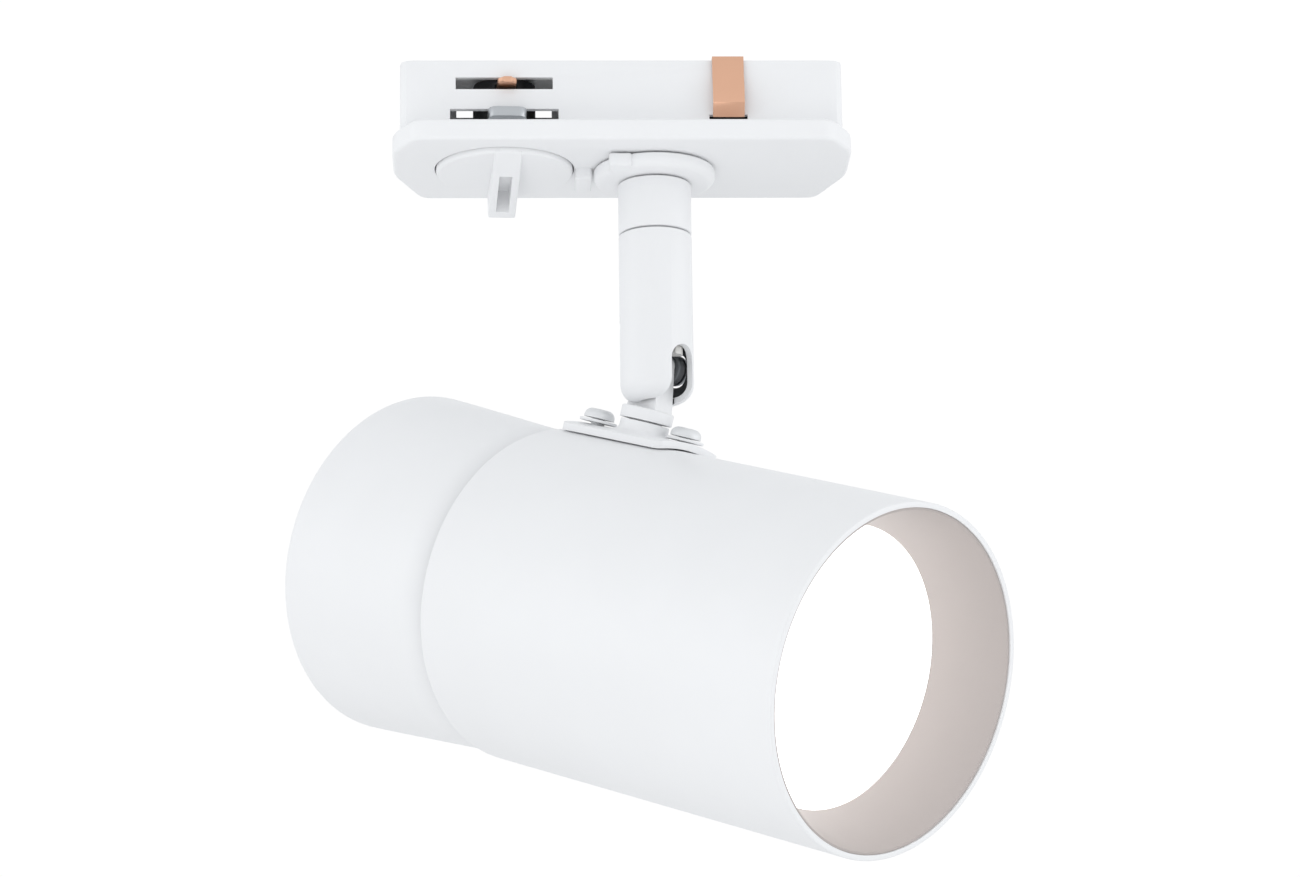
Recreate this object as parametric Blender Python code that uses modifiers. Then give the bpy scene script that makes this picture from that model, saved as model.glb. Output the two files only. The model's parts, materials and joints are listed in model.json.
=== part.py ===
"""Track spotlight: a plug-in track adapter, a swivelling stem and a tilting lamp head.

Sizes are in millimetres and become metres (MM) when a mesh is made. The origin lies on the stem's axis
in the plane of the adapter plate's top face, which seats on the track. +X runs along the track, +Z up.
"""

import math

import bmesh
import bpy
from mathutils import Matrix, Vector

MM = 0.001
GAP = 0.3                      # clearance between pieces that touch
MERGE = 0.00001                # welding distance in metres

# Pose at rest
PAN_AIM = -44.07               # degrees from +X to the head's aim, about +Z
TILT_AIM = 19.3                # degrees that the head dips
LEVER_AIM = 3.4                # degrees that the lever stands off square

# Adapter
PLATE_LEFT, PLATE_RIGHT, PLATE_HALF, PLATE_THICK = -46.5, 34.7, 16.4, 3.9
NEAR_CORNER, FAR_CORNER = (4.0, 7.6), (4.6, 12.5)
HOUSING_LEFT, HOUSING_RIGHT, HOUSING_HALF, HOUSING_TOP = -45.2, 33.4, 8.1, 13.8
HOUSING_WALL = 1.2
GROOVE_DEPTH = 0.4             # the housing's walls stand in a groove, so the seat is the face around them
LEVER_X, LEVER_RADIUS, LEVER_FACE = -26.7, 12.15, -4.9
LOCK_REACH, CONTACT_REACH = 11.3, 10.5
LOCK_LOW, LOCK_HIGH = 2.3, 4.1
CONTACT_LOW, CONTACT_HIGH = 9.0, 10.0
LOCK_WINDOW, CONTACT_WINDOW = 9.6, 8.6   # half widths that the sweeping bar and blades clear
POST_LEFT, POST_RIGHT = -41.9, 29.6

# Stem
COLLAR_RADIUS, COLLAR_LOW = 10.8, -6.75
TUBE_RADIUS, TUBE_BORE = 6.5, 5.4
SEAM_Z, TUBE_LOW = -16.45, -47.1
DOME_ROUND, DOME_FLAT = 3.4, 3.1        # the stem's end: its corner round and the flat left inside it
NIPPLE_RADIUS, NIPPLE_BORE = 4.0, 2.6
SLOT_HALF, SLOT_TOP = 2.7, -37.7
PIVOT_Z = -40.3
PIVOT_SHANK, PIVOT_BORE = 1.25, 1.55
PIVOT_HEAD, PIVOT_SEAT = 2.7, 4.9        # sunk pan head: radius, and its underside off the axis
BUSH_RADIUS, BUSH_NEAR, BUSH_FAR = 2.6, 3.1, 4.6
NUT_NEAR, NUT_FAR = -4.5, -3.2
TONGUE_HALF, TONGUE_TIP = 2.2, 2.25

# Head, measured along its axis (a), across it (b) and up from it (n)
PIVOT_A, PIVOT_N = -15.4, 43.98
NECK_A = -14.9
BEAD_RADIUS, BEAD_LOW, BEAD_TOP = 4.7, 33.9, 36.1
SLEEVE_RADIUS, SLEEVE_BORE = 30.0, 29.0
SLEEVE_FRONT, SLEEVE_REAR = 54.6, -28.9
CASING_END, CASING_RADIUS, CASING_WAIST, CASING_NECK = -64.6, 31.05, 29.45, 26.8
LENS_RADIUS, LENS_FACE = 24.5, 41.2
CONE_MOUTH, CONE_THROAT, CONE_REAR = 28.55, 24.15, 41.5
SADDLE_REAR, SADDLE_FRONT, SADDLE_HALF, SADDLE_TOP = -27.6, -2.9, 7.86, 31.6
SADDLE_SCREWS = ((-23.9, -2.4), (-6.8, 2.3))
DRIVE_TURNS = (12, 44)
COVE_STEPS = 5
BULKHEAD_REAR, BULKHEAD_FRONT = -27.9, -25.9
HOLDER_RADIUS, HOLDER_REAR, HOLDER_FRONT = 12.5, -24.3, -9.1
PIN_CIRCLE, LAMP_TWIST = 5.0, 20.0
CASING_SCREW_CIRCLE = 21.6

# Ways to stand a turned piece that is drawn along +Z
UPRIGHT = (0.0, 0.0, 0.0)
FORWARD = (0.0, math.radians(90), 0.0)
ACROSS = (math.radians(-90), 0.0, 0.0)

WHITE_PLASTIC = ((0.86, 0.87, 0.87), 0.35, 0.0)
WHITE_PAINT = ((0.88, 0.89, 0.90), 0.45, 0.0)
BARE_STEEL = ((0.46, 0.48, 0.50), 0.35, 1.0)
BRASS = ((0.76, 0.58, 0.30), 0.30, 1.0)
COPPER = ((0.78, 0.47, 0.33), 0.35, 1.0)
CERAMIC = ((0.88, 0.86, 0.80), 0.50, 0.0)
WARM_WHITE = ((0.72, 0.70, 0.68), 0.55, 0.0)
DIFFUSER = ((0.95, 0.95, 0.94), 0.30, 0.0)
BLACK_PLASTIC = ((0.05, 0.05, 0.05), 0.45, 0.0)
BROWN_SLEEVE = ((0.30, 0.14, 0.07), 0.50, 0.0)

for leftover in list(bpy.data.objects):
    bpy.data.objects.remove(leftover, do_unlink=True)

parts = bpy.data.collections.new("track_spotlight")
cutters = bpy.data.collections.new("cutters")
bpy.context.scene.collection.children.link(parts)
bpy.context.scene.collection.children.link(cutters)


# ---------------------------------------------------------------- placing and dressing

def frame(name, parent=None, at=(0, 0, 0), turn=UPRIGHT):
    """An empty that carries pieces; a moving group's empty stands on its joint's axis."""
    empty = bpy.data.objects.new(name, None)
    parts.objects.link(empty)
    empty.parent = parent
    empty.location = Vector(at) * MM
    empty.rotation_euler = turn
    return empty


def dress(piece, look):
    colour, roughness, metallic = look
    material = bpy.data.materials.new(piece.name + "_finish")
    material.use_nodes = True
    shader = material.node_tree.nodes["Principled BSDF"]
    shader.inputs["Base Color"].default_value = (*colour, 1.0)
    shader.inputs["Roughness"].default_value = roughness
    shader.inputs["Metallic"].default_value = metallic
    piece.data.materials.clear()
    piece.data.materials.append(material)


def settle(piece, parent, at, turn, look):
    """Puts a new object in its place; a piece with no look is a cutter."""
    home = parts if look else cutters
    home.objects.link(piece)
    piece.parent = parent
    piece.location = Vector(at) * MM
    piece.rotation_euler = turn
    if look:
        dress(piece, look)
    else:
        piece.hide_render = True
        piece.display_type = "WIRE"
    return piece


def from_bmesh(name, mesh_builder):
    mesh = bpy.data.meshes.new(name)
    mesh_builder.to_mesh(mesh)
    mesh_builder.free()
    return bpy.data.objects.new(name, mesh)


def smooth(piece, angle=35):
    piece.data.shade_smooth()
    piece.data.set_sharp_from_angle(angle=math.radians(angle))


# ---------------------------------------------------------------- shapes

def block(name, low, high, parent, look=None, turn=UPRIGHT, at=(0, 0, 0), bevel=0.0):
    """A box between two corners, given in the frame that at and turn set under the parent."""
    low, high = Vector(map(min, low, high)), Vector(map(max, low, high))
    builder = bmesh.new()
    bmesh.ops.create_cube(builder, size=1.0)
    bmesh.ops.scale(builder, vec=(high - low) * MM, verts=builder.verts)
    bmesh.ops.translate(builder, vec=(high + low) / 2 * MM, verts=builder.verts)
    piece = settle(from_bmesh(name, builder), parent, at, turn, look)
    if bevel:
        soften(piece, bevel)
    return piece


def rod(name, radius, low, high, parent, look=None, at=(0, 0), turn=UPRIGHT, segments=24):
    """A round or polygonal bar drawn along +Z from low to high."""
    builder = bmesh.new()
    bmesh.ops.create_cone(builder, cap_ends=True, segments=segments, radius1=radius * MM,
                          radius2=radius * MM, depth=(high - low) * MM,
                          matrix=Matrix.Translation((0, 0, (high + low) / 2 * MM)))
    spot = at if len(at) == 3 else (at[0], at[1], 0)
    piece = settle(from_bmesh(name, builder), parent, spot, turn, look)
    smooth(piece)
    return piece


def turned(name, profile, parent, look=None, at=(0, 0, 0), turn=UPRIGHT, steps=48, closed=True, breaks=()):
    """A profile of (radius, height) points spun about +Z. It runs down its outer side.

    No edge joins the two points before and after an index in breaks: a cup's profile crosses the axis there.
    """
    mesh = bpy.data.meshes.new(name)
    points = [(r * MM, 0, z * MM) for r, z in profile]
    edges = [(i, i + 1) for i in range(len(points) - 1) if i not in breaks]
    if closed:
        edges.append((len(points) - 1, 0))
    mesh.from_pydata(points, edges, [])
    piece = settle(bpy.data.objects.new(name, mesh), parent, at, turn, look)
    screw = piece.modifiers.new("spin", "SCREW")
    screw.steps = screw.render_steps = steps
    screw.use_merge_vertices = True
    screw.merge_threshold = MERGE
    screw.use_smooth_shade = True
    return piece


def prism(name, outline, low, high, parent, look=None, at=(0, 0, 0), turn=UPRIGHT):
    """A flat outline in XY given a thickness from low to high."""
    curve = bpy.data.curves.new(name, "CURVE")
    curve.dimensions = "2D"
    curve.fill_mode = "BOTH"
    curve.extrude = (high - low) / 2 * MM
    spline = curve.splines.new("POLY")
    spline.points.add(len(outline) - 1)
    for point, (x, y) in zip(spline.points, outline):
        point.co = (x * MM, y * MM, 0, 1)
    spline.use_cyclic_u = True
    return solid_from_curve(name, curve, parent, look, at, turn, rise=(high + low) / 2)


def solid_from_curve(name, curve, parent, look, at, turn, rise=0.0):
    """Turns a curve into a closed mesh, because a curve can be neither cut nor a cutter."""
    source = bpy.data.objects.new(name + "_curve", curve)
    cutters.objects.link(source)
    bpy.context.view_layer.update()
    depsgraph = bpy.context.evaluated_depsgraph_get()
    mesh = bpy.data.meshes.new_from_object(source.evaluated_get(depsgraph))
    bpy.data.objects.remove(source, do_unlink=True)
    builder = bmesh.new()
    builder.from_mesh(mesh)
    bmesh.ops.remove_doubles(builder, verts=builder.verts, dist=MERGE)
    bmesh.ops.recalc_face_normals(builder, faces=builder.faces)
    bmesh.ops.translate(builder, vec=(0, 0, rise * MM), verts=builder.verts)
    bpy.data.meshes.remove(mesh)
    return settle(from_bmesh(name, builder), parent, at, turn, look)


def wire(name, points, radius, parent, look):
    """A round wire along a smooth path through its points."""
    curve = bpy.data.curves.new(name, "CURVE")
    curve.dimensions = "3D"
    curve.bevel_depth = radius * MM
    curve.bevel_resolution = 2
    curve.use_fill_caps = True
    path = smooth_path([Vector(p) for p in points])
    spline = curve.splines.new("POLY")
    spline.points.add(len(path) - 1)
    for point, place in zip(spline.points, path):
        point.co = (*(place * MM), 1)
    piece = solid_from_curve(name, curve, parent, look, (0, 0, 0), UPRIGHT)
    smooth(piece)
    return piece


def smooth_path(points, per_span=3):
    """A Catmull-Rom curve through the points."""
    ends = [points[0] * 2 - points[1]] + points + [points[-1] * 2 - points[-2]]
    path = []
    for p0, p1, p2, p3 in zip(ends, ends[1:], ends[2:], ends[3:]):
        for step in range(per_span):
            t = step / per_span
            path.append(0.5 * (2 * p1 + (p2 - p0) * t + (2 * p0 - 5 * p1 + 4 * p2 - p3) * t * t
                               + (3 * p1 - p0 - 3 * p2 + p3) * t ** 3))
    return path + [points[-1]]


def bend(cx, cy, radius, start, end, points=5):
    """Points on an arc, in degrees, for an outline or a profile."""
    angles = [math.radians(start + (end - start) * i / (points - 1)) for i in range(points)]
    return [(cx + radius * math.cos(a), cy + radius * math.sin(a)) for a in angles]


# ---------------------------------------------------------------- finishing moves

def soften(piece, width, segments=2, angle=40):
    bevel = piece.modifiers.new("soft_edges", "BEVEL")
    bevel.width = width * MM
    bevel.segments = segments
    bevel.limit_method = "ANGLE"
    bevel.angle_limit = math.radians(angle)


def combine(piece, operation, *others):
    for other in others:
        step = piece.modifiers.new(operation.lower(), "BOOLEAN")
        step.operation = operation
        step.solver = "EXACT"
        step.object = other
    return piece


def cut(piece, *others):
    return combine(piece, "DIFFERENCE", *others)


def add(piece, *others):
    return combine(piece, "UNION", *others)


def keep(piece, *others):
    return combine(piece, "INTERSECT", *others)


def machine_screw(name, head, height, shank, length, parent, at, turn, look=None, crossed=True,
                  spin=0.0):
    """A pan-head screw: its head's underside at height 0, the shank going down, a crossed drive."""
    dome = [(head * math.cos(math.radians(a)), height * 0.35 + height * 0.65 * math.sin(math.radians(a)))
            for a in (90, 62, 32, 0)]
    dome[0] = (0.0, height)
    profile = dome + [(head, 0.0), (shank, 0.0), (shank, -length), (0.0, -length)]
    screw = turned(name, profile, parent, look, at, turn, steps=14, closed=False)
    if crossed:
        holder = frame(name + "_drive", screw, turn=(0, 0, math.radians(spin)))
        reach, half = head * 0.62, head * 0.13
        first = block(name + "_slot_a", (-reach, -half, height * 0.55), (reach, half, height * 2), holder)
        second = block(name + "_slot_b", (-half, -reach, height * 0.55), (half, reach, height * 2), holder)
        cut(screw, first, second)
    return screw


def ring(outer, inner, low, high):
    """Profile of a plain ring."""
    return [(outer, high), (outer, low), (inner, low), (inner, high)]


# ---------------------------------------------------------------- frames of the moving groups

adapter = frame("adapter_frame")
lever = frame("lever_frame", adapter, (LEVER_X, 0, 0), (0, 0, math.radians(LEVER_AIM)))
swivel = frame("swivel_frame", adapter, turn=(0, 0, math.radians(PAN_AIM)))
tilt = frame("tilt_frame", swivel, (0, 0, PIVOT_Z), (0, math.radians(TILT_AIM), 0))
head = frame("head_frame", tilt, (-PIVOT_A, 0, -PIVOT_N))


# ---------------------------------------------------------------- adapter

def plate_outline(inset=0.0):
    """The plate seen from above: two small chamfers towards -Y, two long ones towards +Y."""
    left, right, half = PLATE_LEFT + inset, PLATE_RIGHT - inset, PLATE_HALF - inset
    (near_x, near_y), (far_x, far_y) = NEAR_CORNER, FAR_CORNER
    return [(left + near_x, -half), (right - near_x, -half), (right, -half + near_y),
            (right, half - far_y), (right - far_x, half), (left + far_x, half),
            (left, half - far_y), (left, -half + near_y)]


def rounded(outline, radius, points=4):
    """The outline with each corner turned into a short curve that starts radius before it."""
    result = []
    count = len(outline)
    for i, corner in enumerate(outline):
        here = Vector(corner)
        before = (Vector(outline[i - 1]) - here).normalized() * radius
        after = (Vector(outline[(i + 1) % count]) - here).normalized() * radius
        for step in range(points):
            t = step / (points - 1)
            spot = (here + before) * (1 - t) ** 2 + 2 * here * t * (1 - t) + (here + after) * t * t
            result.append(tuple(spot))
    return result


def build_plate():
    """Cover plate with the lever's well, the stem's hole, the stop block and two screw posts."""
    plate = prism("cover_plate", rounded(plate_outline(), 1.8, 3), -PLATE_THICK, 0, adapter, WHITE_PLASTIC)
    soften(plate, 0.4, 1)
    well = rod("well", LEVER_RADIUS + GAP, -PLATE_THICK - 1, -1.2, adapter, at=(LEVER_X, 0), segments=40)
    shaft_hole = rod("shaft_hole", 5.3, -2, 1, adapter, at=(LEVER_X, 0))
    stem_hole = rod("stem_hole", NIPPLE_RADIUS + GAP, -PLATE_THICK - 1, 1, adapter)
    stop = block("stop_block", (-14.1, -1.0, -5.9), (-11.1, 7.0, -2.0), adapter, bevel=0.4)
    posts = [rod("post", 1.7, -0.6, 12.2, adapter, at=(x, 0), segments=20) for x in (POST_LEFT, POST_RIGHT)]
    pilots = [rod("pilot", 0.85, 2.0, 13.0, adapter, at=(x, 0), segments=12) for x in (POST_LEFT,
                                                                                       POST_RIGHT)]
    groove = prism("locating_groove", housing_outline(-GAP), -GROOVE_DEPTH, 1, adapter)
    cut(groove, prism("groove_core", housing_outline(HOUSING_WALL + GAP), -1, 2, adapter))
    cut(plate, well, shaft_hole, stem_hole, groove)
    add(plate, stop, *posts)
    cut(plate, *pilots)


def housing_outline(inset):
    left, right, half = HOUSING_LEFT + inset, HOUSING_RIGHT - inset, HOUSING_HALF - inset
    return rounded([(left, -half), (right, -half), (right, half), (left, half)], 2.5 - inset)


def build_housing():
    """The shell that goes up into the track, with windows for the lock bar and the contacts."""
    shell = prism("adapter_housing", housing_outline(0), GAP - GROOVE_DEPTH, HOUSING_TOP, adapter,
                  WHITE_PLASTIC)
    hollow = prism("housing_hollow", housing_outline(HOUSING_WALL), -1, HOUSING_TOP - HOUSING_WALL, adapter)
    lock_window = block("lock_window", (LEVER_X - LOCK_WINDOW, -20, LOCK_LOW - 0.6),
                        (LEVER_X + LOCK_WINDOW, 20, LOCK_HIGH + 0.6), adapter)
    contact_window = block("contact_window", (LEVER_X - CONTACT_WINDOW, -20, CONTACT_LOW - 0.6),
                           (LEVER_X + CONTACT_WINDOW, 20, CONTACT_HIGH + 0.6), adapter)
    bearing = rod("bearing_hole", 3.3, HOUSING_TOP - 3, HOUSING_TOP + 1, adapter, at=(LEVER_X, 0))
    holes = [rod("screw_hole", 1.5, HOUSING_TOP - 3, HOUSING_TOP + 1, adapter, at=(x, 0), segments=16)
             for x in (POST_LEFT, POST_RIGHT)]
    earth_slots = [block("earth_slot", (9.6, side * 8.1 - 1.3, 2.4), (16.4, side * 8.1 + 1.3, 3.6), adapter)
                   for side in (-1, 1)]
    cut(shell, hollow, lock_window, contact_window, bearing, *holes, *earth_slots)
    for number, x in enumerate((POST_LEFT, POST_RIGHT), 1):
        machine_screw(f"housing_screw_{number}", 2.4, 1.3, 0.6, 9.0, adapter, (x, 0, HOUSING_TOP + GAP),
                      UPRIGHT, BARE_STEEL)


def build_electrics():
    """Earth spring over the housing, terminal block, its screws and the leads beside it."""
    side = [(10.2, 5.2), (9.9, 8.0), (8.9, 11.0), (8.75, HOUSING_TOP + 0.35)]
    run = [(-y, z) for y, z in [(8.6, 3.0)] + side] + list(reversed([(y, z) for y, z in [(8.6,
                                                                                          3.0)] + side]))
    mesh = bpy.data.meshes.new("earth_spring")
    width = (10.2, 15.8)
    points = [(x * MM, y * MM, z * MM) for y, z in run for x in width]
    faces = [(2 * i, 2 * i + 1, 2 * i + 3, 2 * i + 2) for i in range(len(run) - 1)]
    mesh.from_pydata(points, [], faces)
    spring = settle(bpy.data.objects.new("earth_spring", mesh), adapter, (0, 0, 0), UPRIGHT, COPPER)
    thicken = spring.modifiers.new("sheet", "SOLIDIFY")
    thicken.thickness = 0.4 * MM
    thicken.offset = 0

    ways = (12.4, 18.0)
    terminals = block("terminal_block", (9.4, -5.2, 4.0), (21.0, 2.4, 10.6), adapter, BLACK_PLASTIC,
                      bevel=0.4)
    for number, x in enumerate(ways, 1):
        cut(terminals, rod("terminal_way", 1.1, -7, 4, adapter, at=(x, 0, 6.2), turn=ACROSS, segments=16),
            rod("terminal_well", 1.35, 8.0, 12, adapter, at=(x, -1.6), segments=16))
        rod(f"terminal_screw_{number}", 1.05, 8.3, 9.9, adapter, BARE_STEEL, at=(x, -1.6), segments=16)
    for number, (x, drift, height) in enumerate(zip(ways, (-0.9, 0.9), (8.4, 10.4)), 1):
        path = [(x, 2.7, 6.2), (x - 0.8, 4.4, 6.5), (x - 3.4, 5.0, height), (8.0, 4.4, height + 0.4),
                (4.6, 2.0 + drift, 11.2), (2.6, drift, 11.5)]
        wire(f"stem_lead_{number}", path, 0.6, adapter, BROWN_SLEEVE)
    for number, (x, height) in enumerate(zip(ways, (9.3, 11.6)), 1):
        path = [(x, -5.5, 6.2), (x - 0.7, -5.95, 6.5), (x - 5.0, -6.0, height),
                (-6.0, -6.0, height), (-14.0, -5.6, height)]
        wire(f"contact_lead_{number}", path, 0.5, adapter, BROWN_SLEEVE)


def build_lever():
    """The lever with its finger ramp, its shaft, the lock bar and the contact carrier."""
    face, back = LEVER_FACE, -1.5
    disc = turned("lever_disc", [(0, back), (LEVER_RADIUS, back), (LEVER_RADIUS, face + 0.5),
                                 (LEVER_RADIUS - 0.5, face), (0, face)], lever, WHITE_PLASTIC, steps=40,
                  closed=False)
    ramp = prism("finger_ramp", [(-12.0, face + 0.6), (-12.0, face), (8.1, -10.0), (8.6, -10.1),
                                 (9.1, -9.7), (11.2, face + 0.6)], -2.45, 2.45, lever,
                 turn=(math.radians(90), 0, math.radians(90)))
    groove = prism("finger_groove", [(-4.6, -5.6), (-4.6, -20), (6.7, -20), (6.7, -5.6)], -1.15, 1.15,
                   lever,
                   turn=(math.radians(90), 0, math.radians(90)))
    add(disc, ramp)
    cut(disc, groove)

    turned("lever_shaft", [(0, HOUSING_TOP + 0.6), (3.0, HOUSING_TOP + 0.6), (3.0, 12.2), (3.5, 11.8),
                           (3.5, 2.0), (4.9, 2.0), (4.9, -1.2), (0, -1.2)], lever, WHITE_PLASTIC,
           steps=24, closed=False)
    ends = bend(0, LOCK_REACH - 1.6, 1.6, 0, 90, 4)
    half = [(3.4, 0)] + [(x + 1.8, y) for x, y in ends]
    outline = half + [(-x, y) for x, y in reversed(half)]
    outline += [(-x, -y) for x, y in half[1:]] + [(x, -y) for x, y in reversed(half[1:])]
    bar = prism("lock_bar", outline, LOCK_LOW, LOCK_HIGH, lever, BARE_STEEL)
    add(bar, rod("bar_hub", 5.4, LOCK_LOW + 0.1, LOCK_HIGH - 0.1, lever))
    cut(bar, rod("bar_hole", 3.8, 0, 8, lever))
    carrier = turned("contact_carrier", ring(5.6, 3.8, LOCK_HIGH + GAP, 11.6), lever, BLACK_PLASTIC,
                     steps=24)
    for name, side in (("line_contact", 1), ("neutral_contact", -1)):
        pocket = block(name + "_pocket", (-2.0, 4.3 * side, CONTACT_LOW - GAP),
                       (2.0, 8.0 * side, CONTACT_HIGH + GAP), lever)
        cut(carrier, pocket)
        blade = prism(name, [(-1.7, 4.6 * side), (1.7, 4.6 * side), (1.7, (CONTACT_REACH - 1) * side),
                             (0.8, CONTACT_REACH * side), (-0.8, CONTACT_REACH * side),
                             (-1.7, (CONTACT_REACH - 1) * side)][::side], CONTACT_LOW, CONTACT_HIGH,
                             lever, COPPER)
        soften(blade, 0.2, 1)


# ---------------------------------------------------------------- stem

def build_stem():
    """Swivel collar, hollow threaded nipple with its nut and washers, and the two tubes."""
    collar_top = -PLATE_THICK - GAP
    square = (0, 0, -math.radians(PAN_AIM))    # the collar's lug is drawn along the track's axes
    collar = turned("swivel_collar", [(NIPPLE_RADIUS + GAP, collar_top), (COLLAR_RADIUS - 0.3, collar_top),
                                      (COLLAR_RADIUS, collar_top - 0.4), (COLLAR_RADIUS, collar_top - 0.9)]
                    + bend(COLLAR_RADIUS - 1.4, COLLAR_LOW + 1.4, 1.4, -8, -90, 4)
                    + [(NIPPLE_RADIUS + GAP, COLLAR_LOW)], swivel, WHITE_PLASTIC, turn=square, steps=40)
    lug = block("collar_lug", (-8.3, -10.4, COLLAR_LOW + 0.1), (-4.3, -6.0, collar_top - 0.02), swivel,
                turn=square, bevel=0.35)
    add(collar, lug)

    turned("stem_nipple", ring(NIPPLE_RADIUS, NIPPLE_BORE, -23.0, 9.6), swivel, BRASS, steps=24)
    turned("nipple_washer", ring(6.5, NIPPLE_RADIUS + GAP, GAP, 1.1), swivel, BARE_STEEL, steps=24)
    wave = turned("spring_washer", ring(6.0, NIPPLE_RADIUS + GAP, 1.4, 2.5), swivel, BARE_STEEL, steps=24)
    cut(wave, block("washer_split", (3, -0.4, 0), (9, 0.4, 4), swivel))
    for name, low, high in (("nipple_nut", 2.8, 5.8), ("nipple_locknut", 6.1, 8.3)):
        nut = rod(name, 6.5, low, high, swivel, BRASS, segments=6)
        cut(nut, rod(name + "_bore", NIPPLE_RADIUS + GAP, low - 1, high + 1, swivel, segments=20))

    upper_high, lower_high = COLLAR_LOW - GAP, SEAM_Z - 0.15
    turned("upper_tube", [(TUBE_RADIUS - 0.2, upper_high), (TUBE_RADIUS, upper_high - 0.2),
                          (TUBE_RADIUS, SEAM_Z + 0.35), (TUBE_RADIUS - 0.2, SEAM_Z + 0.15),
                          (NIPPLE_RADIUS + GAP, SEAM_Z + 0.15), (NIPPLE_RADIUS + GAP, upper_high)],
           swivel, WHITE_PAINT, steps=36)
    shoulder = TUBE_LOW + DOME_ROUND
    tube = turned("lower_tube", [(TUBE_RADIUS - 0.2, lower_high), (TUBE_RADIUS, lower_high - 0.2)]
                  + bend(DOME_FLAT, shoulder, DOME_ROUND, 0, -90, 8)
                  + bend(DOME_FLAT, shoulder, TUBE_BORE - DOME_FLAT, -90, 0, 6)
                  + [(TUBE_BORE, -25.0), (NIPPLE_RADIUS + GAP, -24.0), (NIPPLE_RADIUS + GAP, lower_high)],
                  swivel, WHITE_PAINT, steps=48)
    slot_end = rod("slot_end", SLOT_HALF, 0, 12, swivel, at=(0, 0, SLOT_TOP - SLOT_HALF), turn=FORWARD)
    slot = block("slot", (0, -SLOT_HALF, TUBE_LOW - 2), (12, SLOT_HALF, SLOT_TOP - SLOT_HALF), swivel)
    rear_slot = block("rear_slot", (-12, -SLOT_HALF, TUBE_LOW - 2), (0, SLOT_HALF, SLOT_TOP + 0.35), swivel)
    swing = turned("neck_swing", ring(30.0, PIVOT_N - BEAD_TOP - GAP, -BEAD_RADIUS - GAP,
                                      BEAD_RADIUS + GAP),
                   swivel, at=(0, 0, PIVOT_Z), turn=ACROSS, steps=96)
    behind = block("behind", (-40, -10, -80), (-0.5, 10, PIVOT_Z + 8), swivel)
    keep(swing, behind)
    screw_hole = rod("pivot_hole", PIVOT_HEAD + GAP, 3, 9, swivel, at=(0, 0, PIVOT_Z), turn=ACROSS)
    cut(tube, slot_end, slot, rear_slot, swing, screw_hole)

    cable = [(0, 0, 11.6), (0, 0, 4), (0, 0, -8), (0, 0, -20), (0, 0, -27), (2.0, 0.3, -32.5),
             (3.7, 0.6, -36.5), (3.75, 0.6, -39.0)]
    wire("stem_cable", cable, 1.35, swivel, WHITE_PAINT)


def build_pivot():
    """The screw that the head tilts on, its spacer bush and its captive nut."""
    pivot = (0, 0, PIVOT_Z)
    machine_screw("pivot_screw", PIVOT_HEAD, 1.5, PIVOT_SHANK, PIVOT_SEAT - NUT_FAR + 1.1, swivel,
                  (0, PIVOT_SEAT, PIVOT_Z), ACROSS, BARE_STEEL)
    turned("pivot_bush", [(BUSH_RADIUS - 0.2, BUSH_FAR), (BUSH_RADIUS, BUSH_FAR - 0.2),
                          (BUSH_RADIUS, BUSH_NEAR + 0.2), (BUSH_RADIUS - 0.2, BUSH_NEAR),
                          (PIVOT_BORE, BUSH_NEAR), (PIVOT_BORE, BUSH_FAR)],
           swivel, BARE_STEEL, pivot, ACROSS, steps=32)
    nut = rod("pivot_nut", 2.75, NUT_NEAR, NUT_FAR, swivel, BARE_STEEL, pivot, ACROSS, segments=6)
    cut(nut, rod("pivot_nut_bore", PIVOT_BORE, -6, 0, swivel, at=pivot, turn=ACROSS, segments=20))


# ---------------------------------------------------------------- head

def build_knuckle():
    """Tongue on the pivot, round bead under it and hollow spigot through the saddle."""
    knuckle = turned("knuckle", [(0, BEAD_TOP), (BEAD_RADIUS - 0.3, BEAD_TOP), (BEAD_RADIUS,
                                                                                BEAD_TOP - 0.3),
                                 (BEAD_RADIUS, BEAD_LOW + 0.15), (BEAD_RADIUS - 0.15, BEAD_LOW),
                                 (3.0, BEAD_LOW), (3.0, 25.4), (1.9, 25.4),
                                 (1.9, BEAD_LOW + 0.4), (0, BEAD_LOW + 0.8)], head, WHITE_PAINT,
                     (NECK_A, 0, 0), steps=36, closed=False)
    root = BEAD_TOP - 1.0
    tapered = [(PIVOT_A - TONGUE_TIP, -PIVOT_N), (NECK_A - 3.4, -root), (NECK_A + 4.0, -root),
               (PIVOT_A + TONGUE_TIP, -PIVOT_N)]
    tongue = prism("tongue", tapered, -TONGUE_HALF, TONGUE_HALF, head, turn=ACROSS)
    tip = rod("tongue_tip", TONGUE_TIP, -TONGUE_HALF, TONGUE_HALF, head, at=(PIVOT_A, 0, PIVOT_N),
              turn=ACROSS)
    hole = rod("tongue_hole", PIVOT_BORE, -5, 5, head, at=(PIVOT_A, 0, PIVOT_N), turn=ACROSS, segments=20)
    add(knuckle, tongue, tip)
    cut(knuckle, hole)
    for number, low in enumerate((TONGUE_HALF + GAP, -TONGUE_HALF - GAP - 0.3), 1):
        turned(f"friction_washer_{number}", ring(2.1, PIVOT_BORE, low, low + 0.3), head, BARE_STEEL,
               (PIVOT_A, 0, PIVOT_N), ACROSS, steps=24)
    nut = rod("knuckle_nut", 5.0, 25.9, 28.0, head, BRASS, at=(NECK_A, 0), segments=6)
    cut(nut, rod("knuckle_nut_bore", 3.3, 20, 30, head, at=(NECK_A, 0)))


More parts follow.
